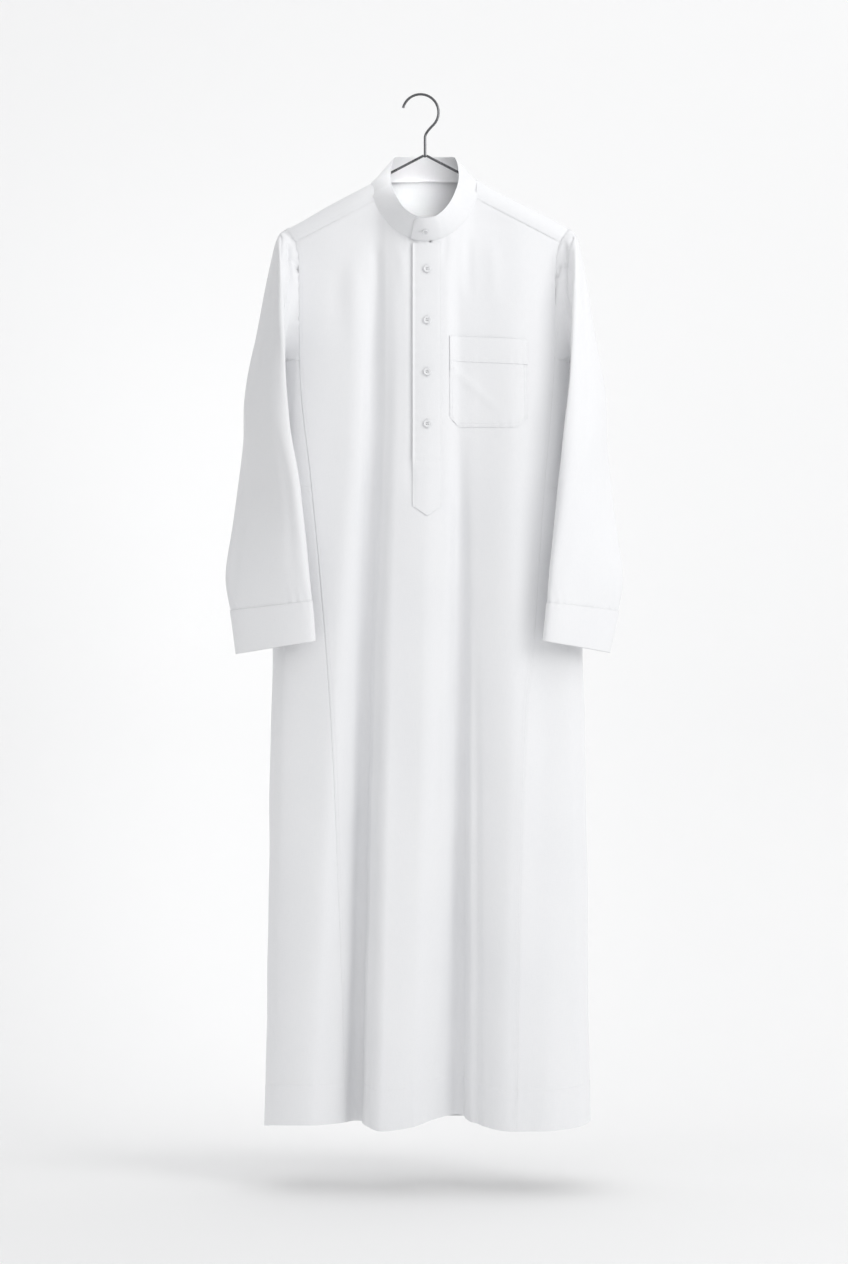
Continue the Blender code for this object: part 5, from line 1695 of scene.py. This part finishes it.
def buttonhole(name, middle, along, outwards, length):
    """Worked buttonhole: close zigzag stitches down both sides of a slit and over its ends."""
    along = np.array(along, float)
    outwards = np.array(outwards, float)
    across = np.cross(outwards, along)
    count = int(length / BUTTONHOLE_PITCH)
    paths = []
    for side in (-1, 1):
        path = []
        for k in range(count + 1):
            far = BUTTONHOLE_WIDTH if k % 2 else BUTTONHOLE_WIDTH * 0.25
            place = (k / count - 0.5) * length
            path.append(middle + along * place + across * side * far + outwards * STITCH_LIFT)
        paths.append(path)
    for end in (-0.5, 0.5):
        paths.append([middle + along * (end * length) + across * BUTTONHOLE_WIDTH * side
                      + outwards * STITCH_LIFT for side in (-1, 0, 1)])
    add_piece(name, thread_mesh(name, paths, THREAD_RADIUS * 0.8), MATERIALS["thread"], "shirting")


def make_buttonholes(seat, outwards):
    """Buttonhole under each placket button and under the collar's button."""
    shift = np.array([GARMENT_X, 0.0, 0.0])
    lift = CLOTH / 2 + LAYER_GAP + DOUBLE
    for number in range(BUTTON_COUNT):
        z = np.array(BUTTON_FIRST_Z - number * BUTTON_PITCH)
        low, high = on_front(np.array(0.0), z - MM, lift), on_front(np.array(0.0), z + MM, lift)
        middle = on_front(np.array(0.0), z, lift)
        out = unit(on_front(np.array(0.0), z, lift + MM) - middle)
        buttonhole(f"buttonhole_{number + 1}", middle + shift, unit(high - low), out,
                   2 * BUTTON_RADIUS + 0.002)
    out = np.array(outwards)
    along = unit(np.cross(np.array((0.0, 0.0, 1.0)), out))
    buttonhole("collar_buttonhole", np.array(seat) - out * GAP - along * 0.004, along, out, 0.015)


# ---------------------------------------------------------------- stage, light and camera
FLOOR_DROP = 0.096            # floor below the hem
WALL_DISTANCE = 1.15          # wall behind the robe
SWEEP = 0.70                  # radius of the curve from floor to wall
FLAG_X = -1.10                # the grey card left of the robe
FLAG_EDGES = (-1.3, 0.1, -0.50, 0.30)     # its front, back, lower and upper edge
STAGE_HALF = 4.0              # half the stage's width, and how far its floor runs forward
WALL_TOP_Z = 2.2
PAINT = (0.885, 0.885, 0.885)
FELT = (0.22, 0.22, 0.22)
WARM = (1.0, 0.995, 0.985)
WHITE = (1.0, 1.0, 1.0)
ROOM_COLOUR = (0.99, 0.993, 1.0, 1.0)
ROOM_STRENGTH = 0.88
LIGHTS = (
    # name, place, aimed at, size, watts, spread in degrees, colour
    ("key_softbox", (2.7, -2.2, 0.5),     (0.0, 0.0, -0.75),      (1.6, 2.0),    32.0, 180, WARM),
    ("neck_light",  (0.16, -0.55, 0.26),  (-0.022, 0.03, -0.165), (0.04, 0.04), 0.014,  10, WHITE),
    ("chest_light", (0.50, -0.80, 0.22),  (0.03, 0.0, -0.22),     (0.3, 0.3),     1.1, 180, WHITE),
    ("wall_wash",   (-0.4, 0.5, 1.7),     (-0.4, 0.9, -1.7),      (3.0, 0.5),     3.0, 180, WHITE),
    ("wall_glow",   (-0.35, 0.25, -0.75), (-0.35, 1.15, -0.75),   (0.6, 1.2),     2.0, 180, WHITE),
)


def make_stage():
    """Pale floor that sweeps up into a wall behind the robe."""
    floor_z = HEM_Z - FLOOR_DROP
    profile = [(-STAGE_HALF, floor_z), (-1.0, floor_z), (WALL_DISTANCE - SWEEP, floor_z)]
    for angle in np.linspace(0, math.pi / 2, 24)[1:]:
        profile.append((WALL_DISTANCE - SWEEP + SWEEP * math.sin(angle),
                        floor_z + SWEEP - SWEEP * math.cos(angle)))
    profile.append((WALL_DISTANCE, WALL_TOP_Z))
    points = [(side * STAGE_HALF, y, z) for y, z in profile for side in (-1, 1)]
    faces = [(2 * k, 2 * k + 1, 2 * k + 3, 2 * k + 2) for k in range(len(profile) - 1)]
    mesh = bpy.data.meshes.new("studio_sweep")
    mesh.from_pydata(points, [], faces)
    mesh.shade_smooth()
    mesh.materials.append(stage_material("studio_paint", PAINT))
    sweep = bpy.data.objects.new("studio_sweep", mesh)
    bpy.context.scene.collection.objects.link(sweep)


def make_flag():
    """Grey upright card that keeps some of the room's light off the robe's left shoulder."""
    front_y, back_y, low_z, high_z = FLAG_EDGES
    points = [(FLAG_X, front_y, low_z), (FLAG_X, back_y, low_z),
              (FLAG_X, back_y, high_z), (FLAG_X, front_y, high_z)]
    mesh = bpy.data.meshes.new("grey_flag")
    mesh.from_pydata(points, [], [(0, 1, 2, 3)])
    mesh.materials.append(stage_material("flag_felt", FELT))
    flag = bpy.data.objects.new("grey_flag", mesh)
    bpy.context.scene.collection.objects.link(flag)
    flag.visible_camera = False


WELD_RADIUS = 0.0024


def make_weld():
    """Small bead of weld where the hook's neck meets the hanger's two arms."""
    arms = [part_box("hanger_arm_" + word) for word in ("left", "right")]
    top = max(box[1].z for box in arms)
    middle = (arms[0][1].x + arms[1][0].x) / 2
    build = bmesh.new()
    bmesh.ops.create_uvsphere(build, u_segments=12, v_segments=8, radius=WELD_RADIUS)
    bmesh.ops.translate(build, verts=build.verts, vec=(middle, 0.0, top - WELD_RADIUS))
    mesh = bpy.data.meshes.new("hanger_weld")
    build.to_mesh(mesh)
    build.free()
    mesh.shade_smooth()
    add_piece("hanger_weld", mesh, MATERIALS["steel"], "steel_wire")


def add_area(name, place, target, size, power, spread, colour):
    """Soft rectangular light aimed at a point."""
    data = bpy.data.lights.new(name, "AREA")
    data.shape = "RECTANGLE"
    data.size, data.size_y = size
    data.energy = power
    data.color = colour
    data.spread = math.radians(spread)
    light = bpy.data.objects.new(name, data)
    light.location = place
    light.rotation_euler = (Vector(target) - Vector(place)).to_track_quat("-Z", "Y").to_euler()
    light.visible_camera = False
    bpy.context.scene.collection.objects.link(light)


def light_scene():
    """Soft key from the right, two lights on the neck and chest, two on the wall, and the room."""
    world = bpy.data.worlds.new("studio_room")
    bpy.context.scene.world = world
    world.use_nodes = True
    background = world.node_tree.nodes["Background"]
    background.inputs["Color"].default_value = ROOM_COLOUR
    background.inputs["Strength"].default_value = ROOM_STRENGTH
    for row in LIGHTS:
        add_area(*row)


CAMERA_PLACE = (0.0054, -5.0, -0.834)
LENS = 91.6


def add_camera():
    """Level camera straight in front of the robe."""
    data = bpy.data.cameras.new("front_camera")
    data.lens = LENS
    data.sensor_width = 36.0
    camera = bpy.data.objects.new("front_camera", data)
    camera.location = CAMERA_PLACE
    camera.rotation_euler = (math.pi / 2, 0.0, 0.0)
    bpy.context.scene.collection.objects.link(camera)
    bpy.context.scene.camera = camera
    bpy.context.scene.view_settings.view_transform = "Standard"


# ---------------------------------------------------------------- assembly
CREASES = body_creases(BODY_CREASES)
STITCHES = stitch_tree()

front = make_front()
back = make_back()
sides = make_sides()
yoke, yoke_start, yoke_shoulder = make_yoke()
collar, collar_outward = make_collar()
placket = make_placket()
make_button_stand()
pocket, pocket_band = make_pocket()
sleeves = make_sleeves()
seat, seat_outwards = make_buttons(collar, collar_outward)
body_stitches()
yoke_stitches()
collar_stitches()
front_trim_stitches()
sleeve_stitches()
make_buttonholes(seat, seat_outwards)

# the hanger's wire takes the steel whose dark base colour is a painted reflection
for node in ("hanger_hook", "hanger_arm_left", "hanger_arm_right", "hanger_bar"):
    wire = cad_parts[node]
    for slot in wire.material_slots:
        slot.material = MATERIALS["steel"]

make_weld()
make_stage()
make_flag()
light_scene()
add_camera()
